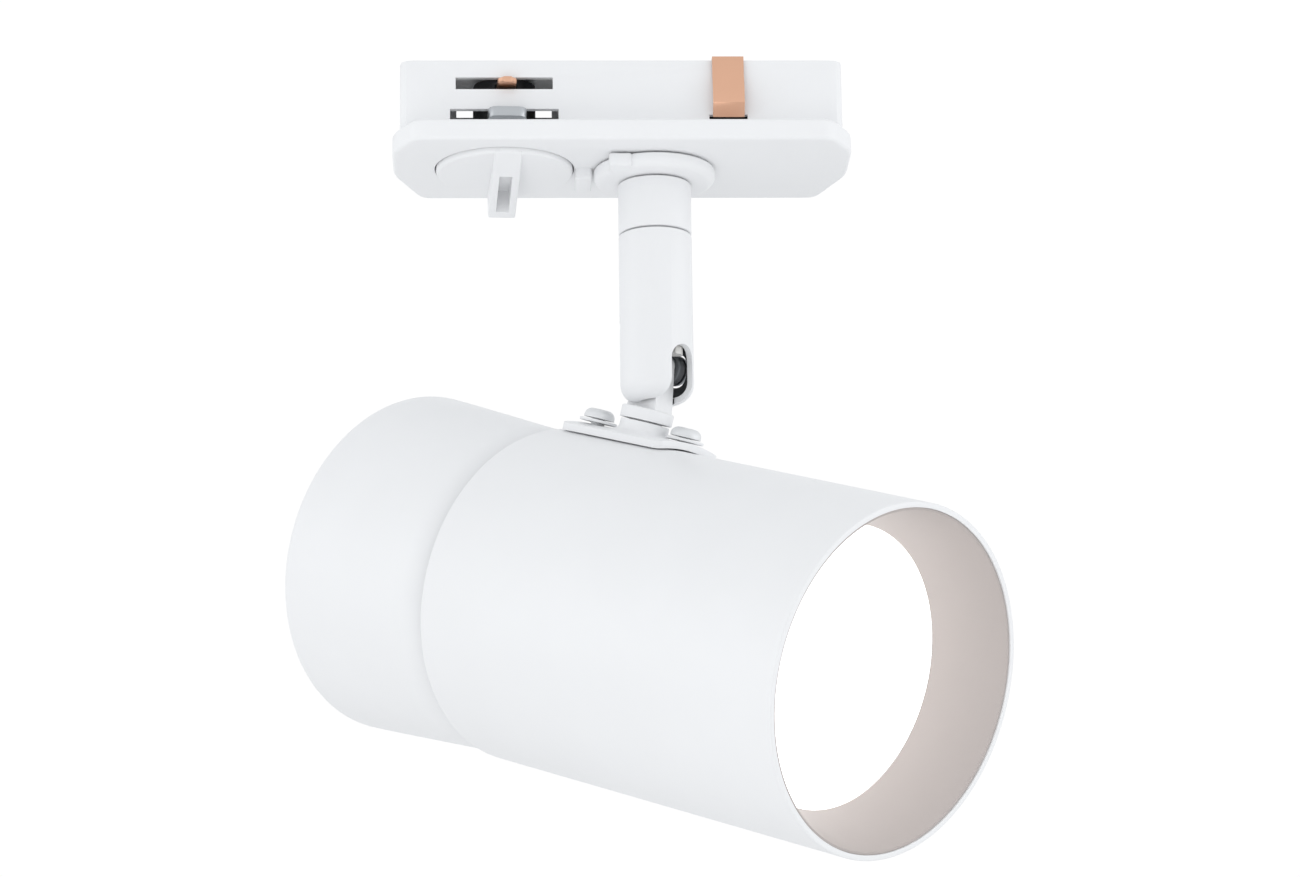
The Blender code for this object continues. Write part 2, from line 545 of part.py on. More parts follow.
def build_saddle():
    """Plate rolled to the sleeve's curve with a flared boss, two washers and two screws."""
    length = SADDLE_FRONT - SADDLE_REAR
    middle = (SADDLE_FRONT + SADDLE_REAR) / 2
    saddle = turned("saddle_plate", ring(SADDLE_TOP, SLEEVE_RADIUS + GAP, -length / 2, length / 2), head,
                    WHITE_PAINT, (middle, 0, 0), FORWARD, steps=96)
    corner = rounded([(-length / 2, -SADDLE_HALF), (length / 2, -SADDLE_HALF), (length / 2, SADDLE_HALF),
                      (-length / 2, SADDLE_HALF)], 1.2)
    keep(saddle, prism("saddle_outline", corner, 20, 40, head, at=(middle, 0, 0)))
    flare = [(0, BEAD_LOW - GAP), (4.4, BEAD_LOW - GAP)] + bend(5.4, BEAD_LOW - 1.3, 1.0, 190, 264, 5)
    boss = turned("saddle_boss", flare + [(6.0, 31.0), (0, 31.0)], head, None, (NECK_A, 0, 0), steps=28,
                  closed=False)
    bore = rod("saddle_bore", 3.3, 20, 40, head, at=(NECK_A, 0))
    add(saddle, boss)
    cut(saddle, bore)
    sleeve_holes = [rod("sleeve_neck_hole", 3.3, 20, 40, head, at=(NECK_A, 0))]
    for number, (a, b) in enumerate(SADDLE_SCREWS, 1):
        cut(saddle, rod("saddle_hole", 1.5, 20, 40, head, at=(a, b), segments=16))
        sleeve_holes.append(rod("sleeve_hole", 1.5, 20, 40, head, at=(a, b), segments=16))
        turned(f"saddle_washer_{number}", ring(3.4, 1.5, SADDLE_TOP + 0.25, SADDLE_TOP + 0.75), head,
               WHITE_PAINT,
               (a, b, 0), steps=24)
        machine_screw(f"saddle_screw_{number}", 2.75, 1.7, 1.2, 6.4, head, (a, b, SADDLE_TOP + 1.0),
                      UPRIGHT,
                      BARE_STEEL, spin=DRIVE_TURNS[number - 1])
    return sleeve_holes


def build_shells(sleeve_holes):
    """Front sleeve, rear casing with its waist, bulkhead between them and its screws."""
    sleeve = turned("front_sleeve", [(SLEEVE_RADIUS - 0.25, SLEEVE_FRONT), (SLEEVE_RADIUS,
                                                                            SLEEVE_FRONT - 0.3),
                                     (SLEEVE_RADIUS, SLEEVE_REAR + 0.3), (SLEEVE_RADIUS - 0.3, SLEEVE_REAR),
                                     (SLEEVE_BORE, SLEEVE_REAR), (SLEEVE_BORE, SLEEVE_FRONT)], head,
                    WHITE_PAINT, turn=FORWARD, steps=64)
    cut(sleeve, *sleeve_holes)

    cove_start, cove_end = SLEEVE_REAR - 7.6, BULKHEAD_REAR - GAP
    depth = CASING_WAIST - CASING_NECK
    cove = []
    for i in range(COVE_STEPS + 1):
        t = i / COVE_STEPS
        cove.append((CASING_WAIST - depth * (0.5 - 0.5 * math.cos(math.pi * t)),
                     cove_start + (cove_end - 1.0 - cove_start) * t))
    outer = list(reversed(cove)) + [(CASING_WAIST + 0.9, -50.0), (CASING_RADIUS, CASING_END + 1.2)]
    outer += bend(CASING_RADIUS - 1.0, CASING_END + 1.0, 1.0, -30, -90, 3)
    wall = 1.6
    inner = [(0, CASING_END), (0, CASING_END + 2.0), (CASING_RADIUS - wall - 1.0, CASING_END + 2.0),
             (CASING_RADIUS - wall, CASING_END + 3.0), (CASING_WAIST - wall, cove_start - 1.0),
             (CASING_NECK - wall, cove_end - 3.0), (CASING_NECK - wall, cove_end)]
    casing = turned("rear_casing", [(CASING_NECK, cove_end)] + outer + inner, head, WHITE_PAINT,
                    turn=FORWARD,
                    steps=48, breaks=(len(outer) + 1,))
    seats = [(CASING_SCREW_CIRCLE * math.sin(a), CASING_SCREW_CIRCLE * math.cos(a))
             for a in map(math.radians, (60, 180, 300))]
    for b, n in seats:
        boss = rod("casing_boss", 3.0, -41.0, cove_end - 0.1, head, at=(0, b, n), turn=FORWARD, segments=20)
        arm_reach = CASING_NECK - wall + 0.7 - CASING_SCREW_CIRCLE
        arm = block("boss_arm", (-38.5, -1.2, 1.0), (cove_end - 0.6, 1.2, arm_reach), head,
                    at=(0, b, n), turn=(math.atan2(-b, n), 0, 0))
        add(casing, boss, arm)
        cut(casing, rod("boss_pilot", 1.15, -39.5, 0, head, at=(0, b, n), turn=FORWARD, segments=12))

    bulkhead = rod("bulkhead", SLEEVE_BORE - GAP, BULKHEAD_REAR, BULKHEAD_FRONT, head, BARE_STEEL,
                   turn=FORWARD,
                   segments=48)
    for b, n in seats:
        cut(bulkhead, rod("bulkhead_hole", 1.5, -30, -20, head, at=(0, b, n), turn=FORWARD, segments=16),
            rod("vent", 3.6, -30, -20, head, at=(0, -b * 0.85, -n * 0.85), turn=FORWARD, segments=24))
    for side in (-1, 1):
        cut(bulkhead, rod("bracket_hole", 1.1, -30, -20, head, at=(0, side * 17.0, 0), turn=FORWARD,
                          segments=12))
    for number, (b, n) in enumerate(seats, 1):
        machine_screw(f"casing_screw_{number}", 2.6, 1.7, 0.85, 10.5, head, (BULKHEAD_FRONT + GAP, b,
                                                                             n), FORWARD,
                      BARE_STEEL)


def build_lamp_seat():
    """Bracket, ceramic holder with curved pin slots, its screws, the lamp ring and the cone."""
    low = BULKHEAD_FRONT + GAP
    bracket = block("holder_bracket", (low, -21.0, -6.0), (low + 0.9, 21.0, 6.0), head, BARE_STEEL,
                    bevel=0.3)
    for side in (-1, 1):
        cut(bracket, rod("bracket_slot", 1.1, -30, -20, head, at=(0, side * 17.0, 0), turn=FORWARD,
                         segments=12),
            rod("bracket_tap", 1.1, -30, -20, head, at=(0, side * 9.3, 0), turn=FORWARD, segments=12))
    for number, side in enumerate((-1, 1), 1):
        machine_screw(f"bracket_screw_{number}", 1.9, 1.2, 0.8, 3.0, head, (low + 0.9 + GAP,
                                                                            side * 17.0, 0), FORWARD,
                      BARE_STEEL, crossed=False)
    holder = rod("lamp_holder", HOLDER_RADIUS, HOLDER_REAR, HOLDER_FRONT, head, CERAMIC, turn=FORWARD,
                 segments=40)
    soften(holder, 0.5, 1)
    for side in (-1, 1):
        start = 90 * side
        arc_out = bend(0, 0, PIN_CIRCLE + 3.0, start - 32, start + LAMP_TWIST + 32, 8)
        arc_in = bend(0, 0, PIN_CIRCLE - 3.0, start + LAMP_TWIST + 32, start - 32, 6)
        slot = prism("pin_slot", arc_out + arc_in, -19.0, 0, head, turn=(math.radians(90), 0,
                                                                         math.radians(90)))
        passage = rod("lead_passage", 1.2, -30, 0, head, at=(0, 0, side * 5.0), turn=FORWARD, segments=16)
        tap = rod("holder_hole", 1.2, -30, 0, head, at=(0, side * 9.3, 0), turn=FORWARD, segments=16)
        sink = rod("holder_sink", 2.3, HOLDER_FRONT - 1.7, 0, head, at=(0, side * 9.3, 0), turn=FORWARD,
                   segments=16)
        cut(holder, slot, passage, tap, sink)
    for number, side in enumerate((-1, 1), 1):
        machine_screw(f"holder_screw_{number}", 1.9, 1.0, 0.8, 14.6, head, (HOLDER_FRONT - 1.4,
                                                                            side * 9.3, 0), FORWARD,
                      BARE_STEEL, crossed=False)

    turned("lamp_ring", [(28.7, 36.0), (28.7, 30.5), (27.9, 30.5), (27.9, 34.9), (25.5, 34.9), (25.5,
                                                                                                36.0)],
           head, BARE_STEEL, turn=FORWARD, steps=40)
    turned("baffle_cone", [(SLEEVE_BORE - GAP, SLEEVE_FRONT - 0.3), (SLEEVE_BORE - GAP, SLEEVE_FRONT - 1.6),
                           (CONE_THROAT + 0.9, CONE_REAR), (CONE_THROAT, CONE_REAR),
                           (CONE_MOUTH, SLEEVE_FRONT - 0.3)], head, WARM_WHITE, turn=FORWARD, steps=56)


def build_lamp():
    """Reflector lamp: body, front diffuser and two pins that twist-lock in the holder."""
    base = HOLDER_FRONT + GAP
    turned("lamp_body", [(0, LENS_FACE - 1.4), (25.0, LENS_FACE - 1.4), (25.0, 37.2), (24.2, 36.4)]
           + [(24.2 - 12.4 * (t / 4) ** 0.8, 36.4 - 30.0 * t / 4) for t in range(1, 5)]
           + [(10.6, 4.0), (8.6, 2.5), (8.6, base), (0, base)], head, WHITE_PLASTIC, turn=FORWARD, steps=40,
           closed=False)
    turned("lamp_lens", [(0, LENS_FACE), (23.6, LENS_FACE), (LENS_RADIUS, LENS_FACE - 0.6),
                         (LENS_RADIUS, LENS_FACE - 1.1), (0, LENS_FACE - 1.1)], head, DIFFUSER,
                         turn=FORWARD,
           steps=48, closed=False)
    for number, side in enumerate((-1, 1), 1):
        turned(f"lamp_pin_{number}", [(0, base - GAP), (1.5, base - GAP), (1.5, base - 3.4), (2.5,
                                                                                              base - 3.6),
                                      (2.5, base - 6.6), (2.2, base - 7.2), (0, base - 7.2)], head, BRASS,
               (0, 0, side * PIN_CIRCLE), FORWARD, steps=16, closed=False)


def build_head_wiring():
    """Two supply leads from the neck to the holder."""
    for number, side in enumerate((-1, 1), 1):
        wire(f"head_lead_{number}", [(NECK_A, 0.85 * side, 32.5), (NECK_A, 0.85 * side, 27),
                                     (NECK_A - 2.0, 2.2 * side, 22.5), (-19.4, 4.0 * side, 19.0),
                                     (-20.0, 4.6 * side, 15.8), (-19.4, 4.2 * side, 13.2)], 0.65, head,
                                     WHITE_PAINT)


build_plate()
build_housing()
build_electrics()
build_lever()
build_stem()
build_pivot()
build_knuckle()
build_shells(build_saddle())
build_lamp_seat()
build_lamp()
build_head_wiring()
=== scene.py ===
"""Finished look of a track spotlight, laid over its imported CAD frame.

Lengths are in millimetres until a mesh is made, and MM turns them into metres. Every piece is drawn in
the axes of its own sub-assembly, worked out from the frame's joints, and then moved into the row frame.
"""

from __future__ import annotations

import json
import logging
import math
from dataclasses import dataclass
from enum import Enum

import bmesh
import bpy
from mathutils import Matrix, Vector


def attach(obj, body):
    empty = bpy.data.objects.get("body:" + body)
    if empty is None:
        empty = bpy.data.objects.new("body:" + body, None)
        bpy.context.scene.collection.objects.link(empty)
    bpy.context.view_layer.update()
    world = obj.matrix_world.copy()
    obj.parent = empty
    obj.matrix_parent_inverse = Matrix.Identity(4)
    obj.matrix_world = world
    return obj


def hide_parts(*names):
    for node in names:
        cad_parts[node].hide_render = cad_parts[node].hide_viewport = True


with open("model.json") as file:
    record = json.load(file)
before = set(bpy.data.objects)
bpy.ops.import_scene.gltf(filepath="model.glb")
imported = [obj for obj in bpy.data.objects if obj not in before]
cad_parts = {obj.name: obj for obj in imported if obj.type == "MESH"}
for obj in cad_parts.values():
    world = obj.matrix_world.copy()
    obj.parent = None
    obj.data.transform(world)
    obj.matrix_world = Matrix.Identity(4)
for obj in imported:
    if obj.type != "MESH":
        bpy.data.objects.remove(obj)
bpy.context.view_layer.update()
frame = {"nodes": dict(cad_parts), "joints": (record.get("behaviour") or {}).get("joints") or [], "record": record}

MM = 0.001
WELD = 1e-7                 # metres within which two points are one
SEAM = 1e-6                 # the same, where a swept shape meets itself
CAD_WELD = 2e-6             # the same, on a CAD node's loose triangles
GAP = 0.3                   # clearance between pieces that touch
log = logging.getLogger("track_spotlight")

Point = tuple[float, float]
Spot = tuple[float, float, float]


class Body(Enum):
    """The five groups that move as one."""

    ADAPTER = "adapter"
    LEVER = "lever"
    STEM = "stem"
    HEAD = "head"
    LAMP = "lamp"


class Cut(Enum):
    """What one solid does to another."""

    ADD = "UNION"
    TAKE = "DIFFERENCE"
    CROP = "INTERSECT"


# ---------------------------------------------------------------- finishes

CLOUD, WEAR = 14.0, 4.0     # millimetres across a patch of tint and a patch of sheen
SHEEN_SPREAD = 0.06         # how far the roughness wanders
RELIEF_HEIGHT = 0.1         # millimetres of relief at full strength


@dataclass(frozen=True)
class Finish:
    """A surface: its colour, its sheen and the fine texture that breaks them up.

    Attributes:
        slot: its name. It is a material slot of the record, but for bright_zinc, dull_zinc and the near-black
            painted shade inside the lower tube's bore, which some pieces wear in place of their slot's own.
        colour: linear base colour.
        roughness: middle of the roughness range.
        grain: size of the fine relief, in millimetres.
        relief: strength of the fine relief.
        mottling: how far the colour wanders, as a share of it.
        metallic: 1 for bare metal.
        stretch: how the grain is drawn out along X, Y and Z.
        glow: light given off.
    """

    slot: str
    colour: Spot
    roughness: float
    grain: float = 0.35
    relief: float = 0.04
    mottling: float = 0.015
    metallic: float = 0.0
    stretch: Spot = (1.0, 1.0, 1.0)
    glow: float = 0.0

    def material(self) -> bpy.types.Material:
        """The finish as a node material, made once.

        Returns:
            The material.
        """
        known = bpy.data.materials.get("finish_" + self.slot)
        if known:
            return known
        material = bpy.data.materials.new("finish_" + self.slot)
        material.use_nodes = True
        nodes, links = material.node_tree.nodes, material.node_tree.links
        shader = nodes["Principled BSDF"]
        shader.inputs["Metallic"].default_value = self.metallic
        if self.glow:
            shader.inputs["Emission Color"].default_value = (1.0, 1.0, 0.995, 1.0)
            shader.inputs["Emission Strength"].default_value = self.glow

        places = nodes.new("ShaderNodeTexCoord")
        drawn = nodes.new("ShaderNodeMapping")
        drawn.inputs["Scale"].default_value = self.stretch
        links.new(places.outputs["Object"], drawn.inputs["Vector"])

        cloud = self._noise(material.node_tree, drawn, CLOUD, 3.0)
        tint = nodes.new("ShaderNodeMix")
        tint.data_type = "RGBA"
        dark, light = 1.0 - self.mottling, 1.0 + self.mottling
        tint.inputs[6].default_value = (*(min(c * dark, 1.0) for c in self.colour), 1.0)
        tint.inputs[7].default_value = (*(min(c * light, 1.0) for c in self.colour), 1.0)
        links.new(cloud.outputs["Fac"], tint.inputs[0])
        links.new(tint.outputs[2], shader.inputs["Base Color"])

        wear = self._noise(material.node_tree, drawn, WEAR, 4.0)
        sheen = nodes.new("ShaderNodeMapRange")
        sheen.inputs["To Min"].default_value = max(self.roughness - SHEEN_SPREAD, 0.02)
        sheen.inputs["To Max"].default_value = min(self.roughness + SHEEN_SPREAD, 1.0)
        links.new(wear.outputs["Fac"], sheen.inputs["Value"])
        links.new(sheen.outputs["Result"], shader.inputs["Roughness"])

        texture = self._noise(material.node_tree, drawn, self.grain, 2.0)
        bump = nodes.new("ShaderNodeBump")
        bump.inputs["Strength"].default_value = self.relief
        bump.inputs["Distance"].default_value = RELIEF_HEIGHT * MM
        links.new(texture.outputs["Fac"], bump.inputs["Height"])
        links.new(bump.outputs["Normal"], shader.inputs["Normal"])
        return material

    @staticmethod
    def _noise(tree: bpy.types.NodeTree, source: bpy.types.Node, size: float,
               detail: float) -> bpy.types.Node:
        """A noise for part of the finish.

        Args:
            tree: the material's tree.
            source: the node that gives the place.
            size: about how many millimetres its features are across.
            detail: how many finer layers it has.

        Returns:
            The noise node.
        """
        noise = tree.nodes.new("ShaderNodeTexNoise")
        noise.inputs["Scale"].default_value = 1.0 / (size * MM)
        noise.inputs["Detail"].default_value = detail
        tree.links.new(source.outputs["Vector"], noise.inputs["Vector"])
        return noise


FINISHES = {finish.slot: finish for finish in (
    Finish("white_plastic", (0.895, 0.90, 0.91), 0.42, grain=0.25, relief=0.03),
    Finish("white_paint", (0.87, 0.875, 0.885), 0.40, grain=0.45, relief=0.05),
    Finish("baffle_paint", (0.475, 0.430, 0.412), 0.62, grain=0.40, relief=0.06),
    Finish("zinc_steel", (0.52, 0.54, 0.56), 0.34, grain=0.20, relief=0.10, mottling=0.06, metallic=1.0,
           stretch=(1.0, 1.0, 5.0)),
    Finish("bright_zinc", (0.80, 0.81, 0.82), 0.50, grain=0.20, relief=0.08, mottling=0.03, metallic=0.45),
    Finish("dull_zinc", (0.30, 0.315, 0.335), 0.60, grain=0.20, relief=0.08, mottling=0.05, metallic=0.20),
    # near-black painted shade for the inside of the lower tube, standing in for the shadow seen through the slot
    Finish("bore_painted_shade", (0.07, 0.075, 0.08), 0.60, grain=0.30, relief=0.08, mottling=0.10),
    Finish("brass", (0.76, 0.58, 0.30), 0.30, grain=0.20, relief=0.08, mottling=0.05, metallic=1.0,
           stretch=(1.0, 1.0, 6.0)),
    Finish("contact_copper", (0.80, 0.47, 0.32), 0.32, grain=0.25, relief=0.07, mottling=0.06, metallic=1.0),
    Finish("black_plastic", (0.035, 0.035, 0.037), 0.48, grain=0.22, relief=0.05, mottling=0.08),
    Finish("brown_sleeve", (0.26, 0.12, 0.06), 0.50, grain=0.30, relief=0.04, mottling=0.05),
    Finish("white_sleeve", (0.80, 0.79, 0.76), 0.60, grain=0.22, relief=0.10, mottling=0.04),
    Finish("ceramic", (0.84, 0.81, 0.74), 0.22, grain=0.70, relief=0.04, mottling=0.03),
    Finish("lamp_housing", (0.82, 0.82, 0.80), 0.46, grain=0.30, relief=0.03),
    Finish("lamp_diffuser", (0.95, 0.95, 0.94), 0.35, grain=0.30, relief=0.02, glow=1.3),
)}
SLOT_OF = {part["node"]: part["material_slot"] for part in frame["record"]["subparts"]}


# ---------------------------------------------------------------- places

def axes(x: Vector, y: Vector, z: Vector, origin: Vector) -> Matrix:
    """Axes as one matrix.

    Args:
        x, y, z: their directions.
        origin: where they meet, in metres.

    Returns:
        The matrix that carries a drawing into them.
    """
    matrix = Matrix((x, y, z)).transposed().to_4x4()
    matrix.translation = origin
    return matrix


class Places:
    """The axes that each sub-assembly is drawn in, worked out from the frame's joints."""

    def __init__(self, joints: list[dict], lever_aim: float = 3.4) -> None:
        """Works the axes out.

        Args:
            joints: the frame's joints.
            lever_aim: degrees that the lever stands off square at rest.
        """
        found = {joint["name"]: joint for joint in joints}
        across = Vector(found["tilt"]["axis"]).normalized()
        ahead = Vector(found["lamp_twist"]["axis"]).normalized()
        above = ahead.cross(across)
        upright = Vector((0, 0, 1))
        self.track = Matrix.Identity(4)
        self.lever = Matrix.Translation(found["lever_turn"]["pos_m"]) @ Matrix.Rotation(
            math.radians(lever_aim), 4, "Z")
        self.stem = axes(across.cross(upright), across, upright, Vector((0, 0, 0)))
        self.pivot_z = found["tilt"]["pos_m"][2] / MM
        self.head = axes(ahead, across, above, Vector(found["lamp_twist"]["pos_m"]))


# a piece drawn on +Z lies on +X, or on +Y
ALONG_X = axes(Vector((0, 1, 0)), Vector((0, 0, 1)), Vector((1, 0, 0)), Vector())
ALONG_Y = axes(Vector((0, 0, 1)), Vector((1, 0, 0)), Vector((0, 1, 0)), Vector())


def shift(x: float = 0.0, y: float = 0.0, z: float = 0.0) -> Matrix:
    """A move in millimetres."""
    return Matrix.Translation(Vector((x, y, z)) * MM)


# ---------------------------------------------------------------- node trees

Number = float | bpy.types.NodeSocket


class Tree:
    """A Geometry Nodes tree built link by link."""

    def __init__(self, name: str, sizes: dict[str, str]) -> None:
        """Starts the tree.

        Args:
            name: the tree's name.
            sizes: each named input and its socket type.
        """
        self.group = bpy.data.node_groups.new(name, "GeometryNodeTree")
        face = self.group.interface
        face.new_socket("Geometry", in_out="INPUT", socket_type="NodeSocketGeometry")
        self.sockets = {label: face.new_socket(label, in_out="INPUT", socket_type=kind).identifier
                        for label, kind in sizes.items()}
        face.new_socket("Geometry", in_out="OUTPUT", socket_type="NodeSocketGeometry")
        self.entry = self.group.nodes.new("NodeGroupInput")
        self.exit = self.group.nodes.new("NodeGroupOutput")

    def add(self, kind: str, inputs: dict[str | int, object] | None = None,
            **settings: object) -> bpy.types.Node:
        """Adds a node.

        Args:
            kind: its type.
            inputs: what goes into each input, a value or another node's output.
            settings: its own settings.

        Returns:
            The node.
        """
        node = self.group.nodes.new(kind)
        for key, value in settings.items():
            setattr(node, key, value)
        for key, value in (inputs or {}).items():
            if isinstance(value, bpy.types.NodeSocket):
                self.group.links.new(value, node.inputs[key])
            else:
                node.inputs[key].default_value = value
        return node

    def size(self, label: str) -> bpy.types.NodeSocket:
        """The output that carries a named input."""
        return self.entry.outputs[label]

    def math(self, operation: str, first: Number, second: Number) -> bpy.types.NodeSocket:
        """The output of a sum on two numbers or outputs."""
        return self.add("ShaderNodeMath", {0: first, 1: second}, operation=operation).outputs[0]

    def end(self, geometry: bpy.types.NodeSocket) -> None:
        """Realizes the result and gives it its material.

        Args:
            geometry: the output that carries the result.
        """
        solid = self.add("GeometryNodeRealizeInstances", {"Geometry": geometry})
        dressed = self.add("GeometryNodeSetMaterial", {"Geometry": solid.outputs[0],
                                                       "Material": self.size("Finish")})
        self.group.links.new(dressed.outputs[0], self.exit.inputs[0])

    def run(self, obj: bpy.types.Object, values: dict[str, object]) -> None:
        """Puts the tree on an object and bakes the result.

        Args:
            obj: the object, which changes.
            values: each named input's value.
        """
        step = obj.modifiers.new(self.group.name, "NODES")
        step.node_group = self.group
        for label, value in values.items():
            step[self.sockets[label]] = value
        bake(obj)


HUB = 1.0 * MM              # radius of the circle that a profile is swept round
HEAD_SIDES, SHANK_SIDES, CROWN_POINTS = 40, 24, 8
CROWN = 0.8                 # round on a screw's head, as a share of its height
CROSS = (1.2, 0.26)         # length and width of the drive's bars, as shares of the head's radius
SHANK_DROP = -0.48          # middle of the shank, as a share of its length


def turning_tree() -> Tree:
    """Sweeps a profile round +Z and rounds each corner by its own "soft" radius.

    Returns:
        The tree.
    """
    tree = Tree("turning", {"Segments": "NodeSocketInt", "Rounding": "NodeSocketInt",
                            "Finish": "NodeSocketMaterial"})
    outline = tree.add("GeometryNodeMeshToCurve", {"Mesh": tree.size("Geometry")})
    soft = tree.add("GeometryNodeInputNamedAttribute", {"Name": "soft"}, data_type="FLOAT")
    rounding = {"Curve": outline.outputs[0], "Count": tree.size("Rounding"), "Radius": soft.outputs[0],
                "Limit Radius": True}
    eased = tree.add("GeometryNodeFilletCurve", rounding, mode="POLY")
    circle = tree.add("GeometryNodeCurvePrimitiveCircle", {"Resolution": tree.size("Segments"),
                                                           "Radius": HUB})
    swept = tree.add("GeometryNodeCurveToMesh", {"Curve": circle.outputs[0],
                                                 "Profile Curve": eased.outputs[0]})
    welded = tree.add("GeometryNodeMergeByDistance", {"Geometry": swept.outputs[0], "Distance": SEAM})
    tree.end(welded.outputs[0])
    return tree


def screw_tree() -> Tree:
    """Sets a pan-head screw on every point, turned by the point's own "drive" angle.

    Returns:
        The tree.
    """
    real = "NodeSocketFloat"
    tree = Tree("pan_head_screws", {"Head": real, "Height": real, "Shank": real, "Length": real,
                                    "Recess": real, "Finish": "NodeSocketMaterial"})
    head, height = tree.size("Head"), tree.size("Height")

    def corner(x: Number, y: Number) -> bpy.types.NodeSocket:
        """The output of a point from two numbers or outputs."""
        return tree.add("ShaderNodeCombineXYZ", {"X": x, "Y": y}).outputs[0]

    rim, top = tree.math("SUBTRACT", head, HUB), tree.math("MULTIPLY", height, -1.0)
    side = tree.add("GeometryNodeCurvePrimitiveQuadrilateral",
                    {"Point 1": corner(-HUB, top), "Point 2": corner(rim, top),
                     "Point 3": corner(rim, 0.0), "Point 4": corner(-HUB, 0.0)}, mode="POINTS")
    index = tree.add("GeometryNodeInputIndex").outputs[0]
    crown = tree.math("COMPARE", index, 1.0)
    easing = tree.math("MULTIPLY", crown, tree.math("MULTIPLY", height, CROWN))
    rounding = {"Curve": side.outputs[0], "Count": CROWN_POINTS, "Radius": easing, "Limit Radius": True}
    eased = tree.add("GeometryNodeFilletCurve", rounding, mode="POLY")
    circle = tree.add("GeometryNodeCurvePrimitiveCircle", {"Resolution": HEAD_SIDES, "Radius": HUB})
    swept = tree.add("GeometryNodeCurveToMesh", {"Curve": circle.outputs[0],
                                                 "Profile Curve": eased.outputs[0]})
    cap = tree.add("GeometryNodeMergeByDistance", {"Geometry": swept.outputs[0], "Distance": SEAM})

    long, narrow = (tree.math("MULTIPLY", head, share) for share in CROSS)
    bars = []
    for x, y in ((long, narrow), (narrow, long)):
        size = tree.add("ShaderNodeCombineXYZ", {"X": x, "Y": y, "Z": tree.size("Recess")}).outputs[0]
        bar = tree.add("GeometryNodeMeshCube", {"Size": size})
        lift = tree.add("ShaderNodeCombineXYZ", {"Z": height}).outputs[0]
        bars.append(tree.add("GeometryNodeTransform", {"Geometry": bar.outputs[0], "Translation": lift}))
    cut = tree.add("GeometryNodeMeshBoolean", {"Mesh 1": cap.outputs[0]}, operation="DIFFERENCE",
                   solver="EXACT")
    for bar in bars:
        tree.group.links.new(bar.outputs[0], cut.inputs["Mesh 2"])

    rod = tree.add("GeometryNodeMeshCylinder", {"Vertices": SHANK_SIDES, "Radius": tree.size("Shank"),
                                                "Depth": tree.size("Length")})
    drop = tree.math("MULTIPLY", tree.size("Length"), SHANK_DROP)
    low = tree.add("ShaderNodeCombineXYZ", {"Z": drop}).outputs[0]
    shank = tree.add("GeometryNodeTransform", {"Geometry": rod.outputs[0], "Translation": low})
    screw = tree.add("GeometryNodeJoinGeometry")
    for part in (cut, shank):
        tree.group.links.new(part.outputs[0], screw.inputs[0])

    angle = tree.add("GeometryNodeInputNamedAttribute", {"Name": "drive"}, data_type="FLOAT")
    turn = tree.add("ShaderNodeCombineXYZ", {"Z": angle.outputs[0]})
    seats = tree.add("GeometryNodeInstanceOnPoints", {"Points": tree.size("Geometry"),
                                                      "Instance": screw.outputs[0],
                                                      "Rotation": turn.outputs[0]})
    tree.end(seats.outputs[0])
    return tree


# ---------------------------------------------------------------- making meshes

def link(name: str, mesh: bpy.types.Mesh) -> bpy.types.Object:
    """Puts a mesh in the scene.

    Args:
        name: the object's name.
        mesh: its mesh.

    Returns:
        The object.
    """
    obj = bpy.data.objects.new(name, mesh)
    bpy.context.scene.collection.objects.link(obj)
    return obj


def bake(obj: bpy.types.Object) -> None:
    """Turns an object's modifiers into plain mesh.

    Args:
        obj: the object, which changes.
    """
    bpy.context.view_layer.update()
    depsgraph = bpy.context.evaluated_depsgraph_get()
    mesh = bpy.data.meshes.new_from_object(obj.evaluated_get(depsgraph))
    obj.modifiers.clear()
    obj.data = mesh


def close_up(obj: bpy.types.Object) -> None:
    """Welds an object's seams and poles and turns its faces outwards.

    Args:
        obj: the object, which changes.
    """
    builder = bmesh.new()
    builder.from_mesh(obj.data)
    bmesh.ops.remove_doubles(builder, verts=builder.verts, dist=WELD)
    bmesh.ops.recalc_face_normals(builder, faces=builder.faces)
    if builder.calc_volume(signed=True) < 0:
        bmesh.ops.reverse_faces(builder, faces=builder.faces)
    builder.to_mesh(obj.data)
    builder.free()


def turned(name: str, profile: list[tuple[float, ...]], place: Matrix, segments: int = 96, rounding: int = 4,
           closed: bool = True) -> bpy.types.Object:
    """A profile turned about the place's +Z.

    Args:
        name: the piece's name.
        profile: (radius, height) or (radius, height, rounding radius) points in millimetres.
        place: axes that it is drawn in.
        segments: sides of the turned shape.
        rounding: points on each rounded corner.
        closed: whether the last point joins the first; off for a solid that meets the axis.

    Returns:
        The object, with its place in its mesh.
    """
    mesh = bpy.data.meshes.new(name)
    count = len(profile)
    edges = [(i, i + 1) for i in range(count - 1)] + ([(count - 1, 0)] if closed else [])
    mesh.from_pydata([(p[0] * MM - HUB, -p[1] * MM, 0) for p in profile], edges, [])
    soft = mesh.attributes.new("soft", "FLOAT", "POINT")
    for entry, corner in zip(soft.data, profile):
        entry.value = corner[2] * MM if len(corner) > 2 else 0.0
    obj = link(name, mesh)
    TURNING.run(obj, {"Segments": segments, "Rounding": rounding,
                      "Finish": FINISHES["white_paint"].material()})
    close_up(obj)
    obj.data.transform(place)
    return obj


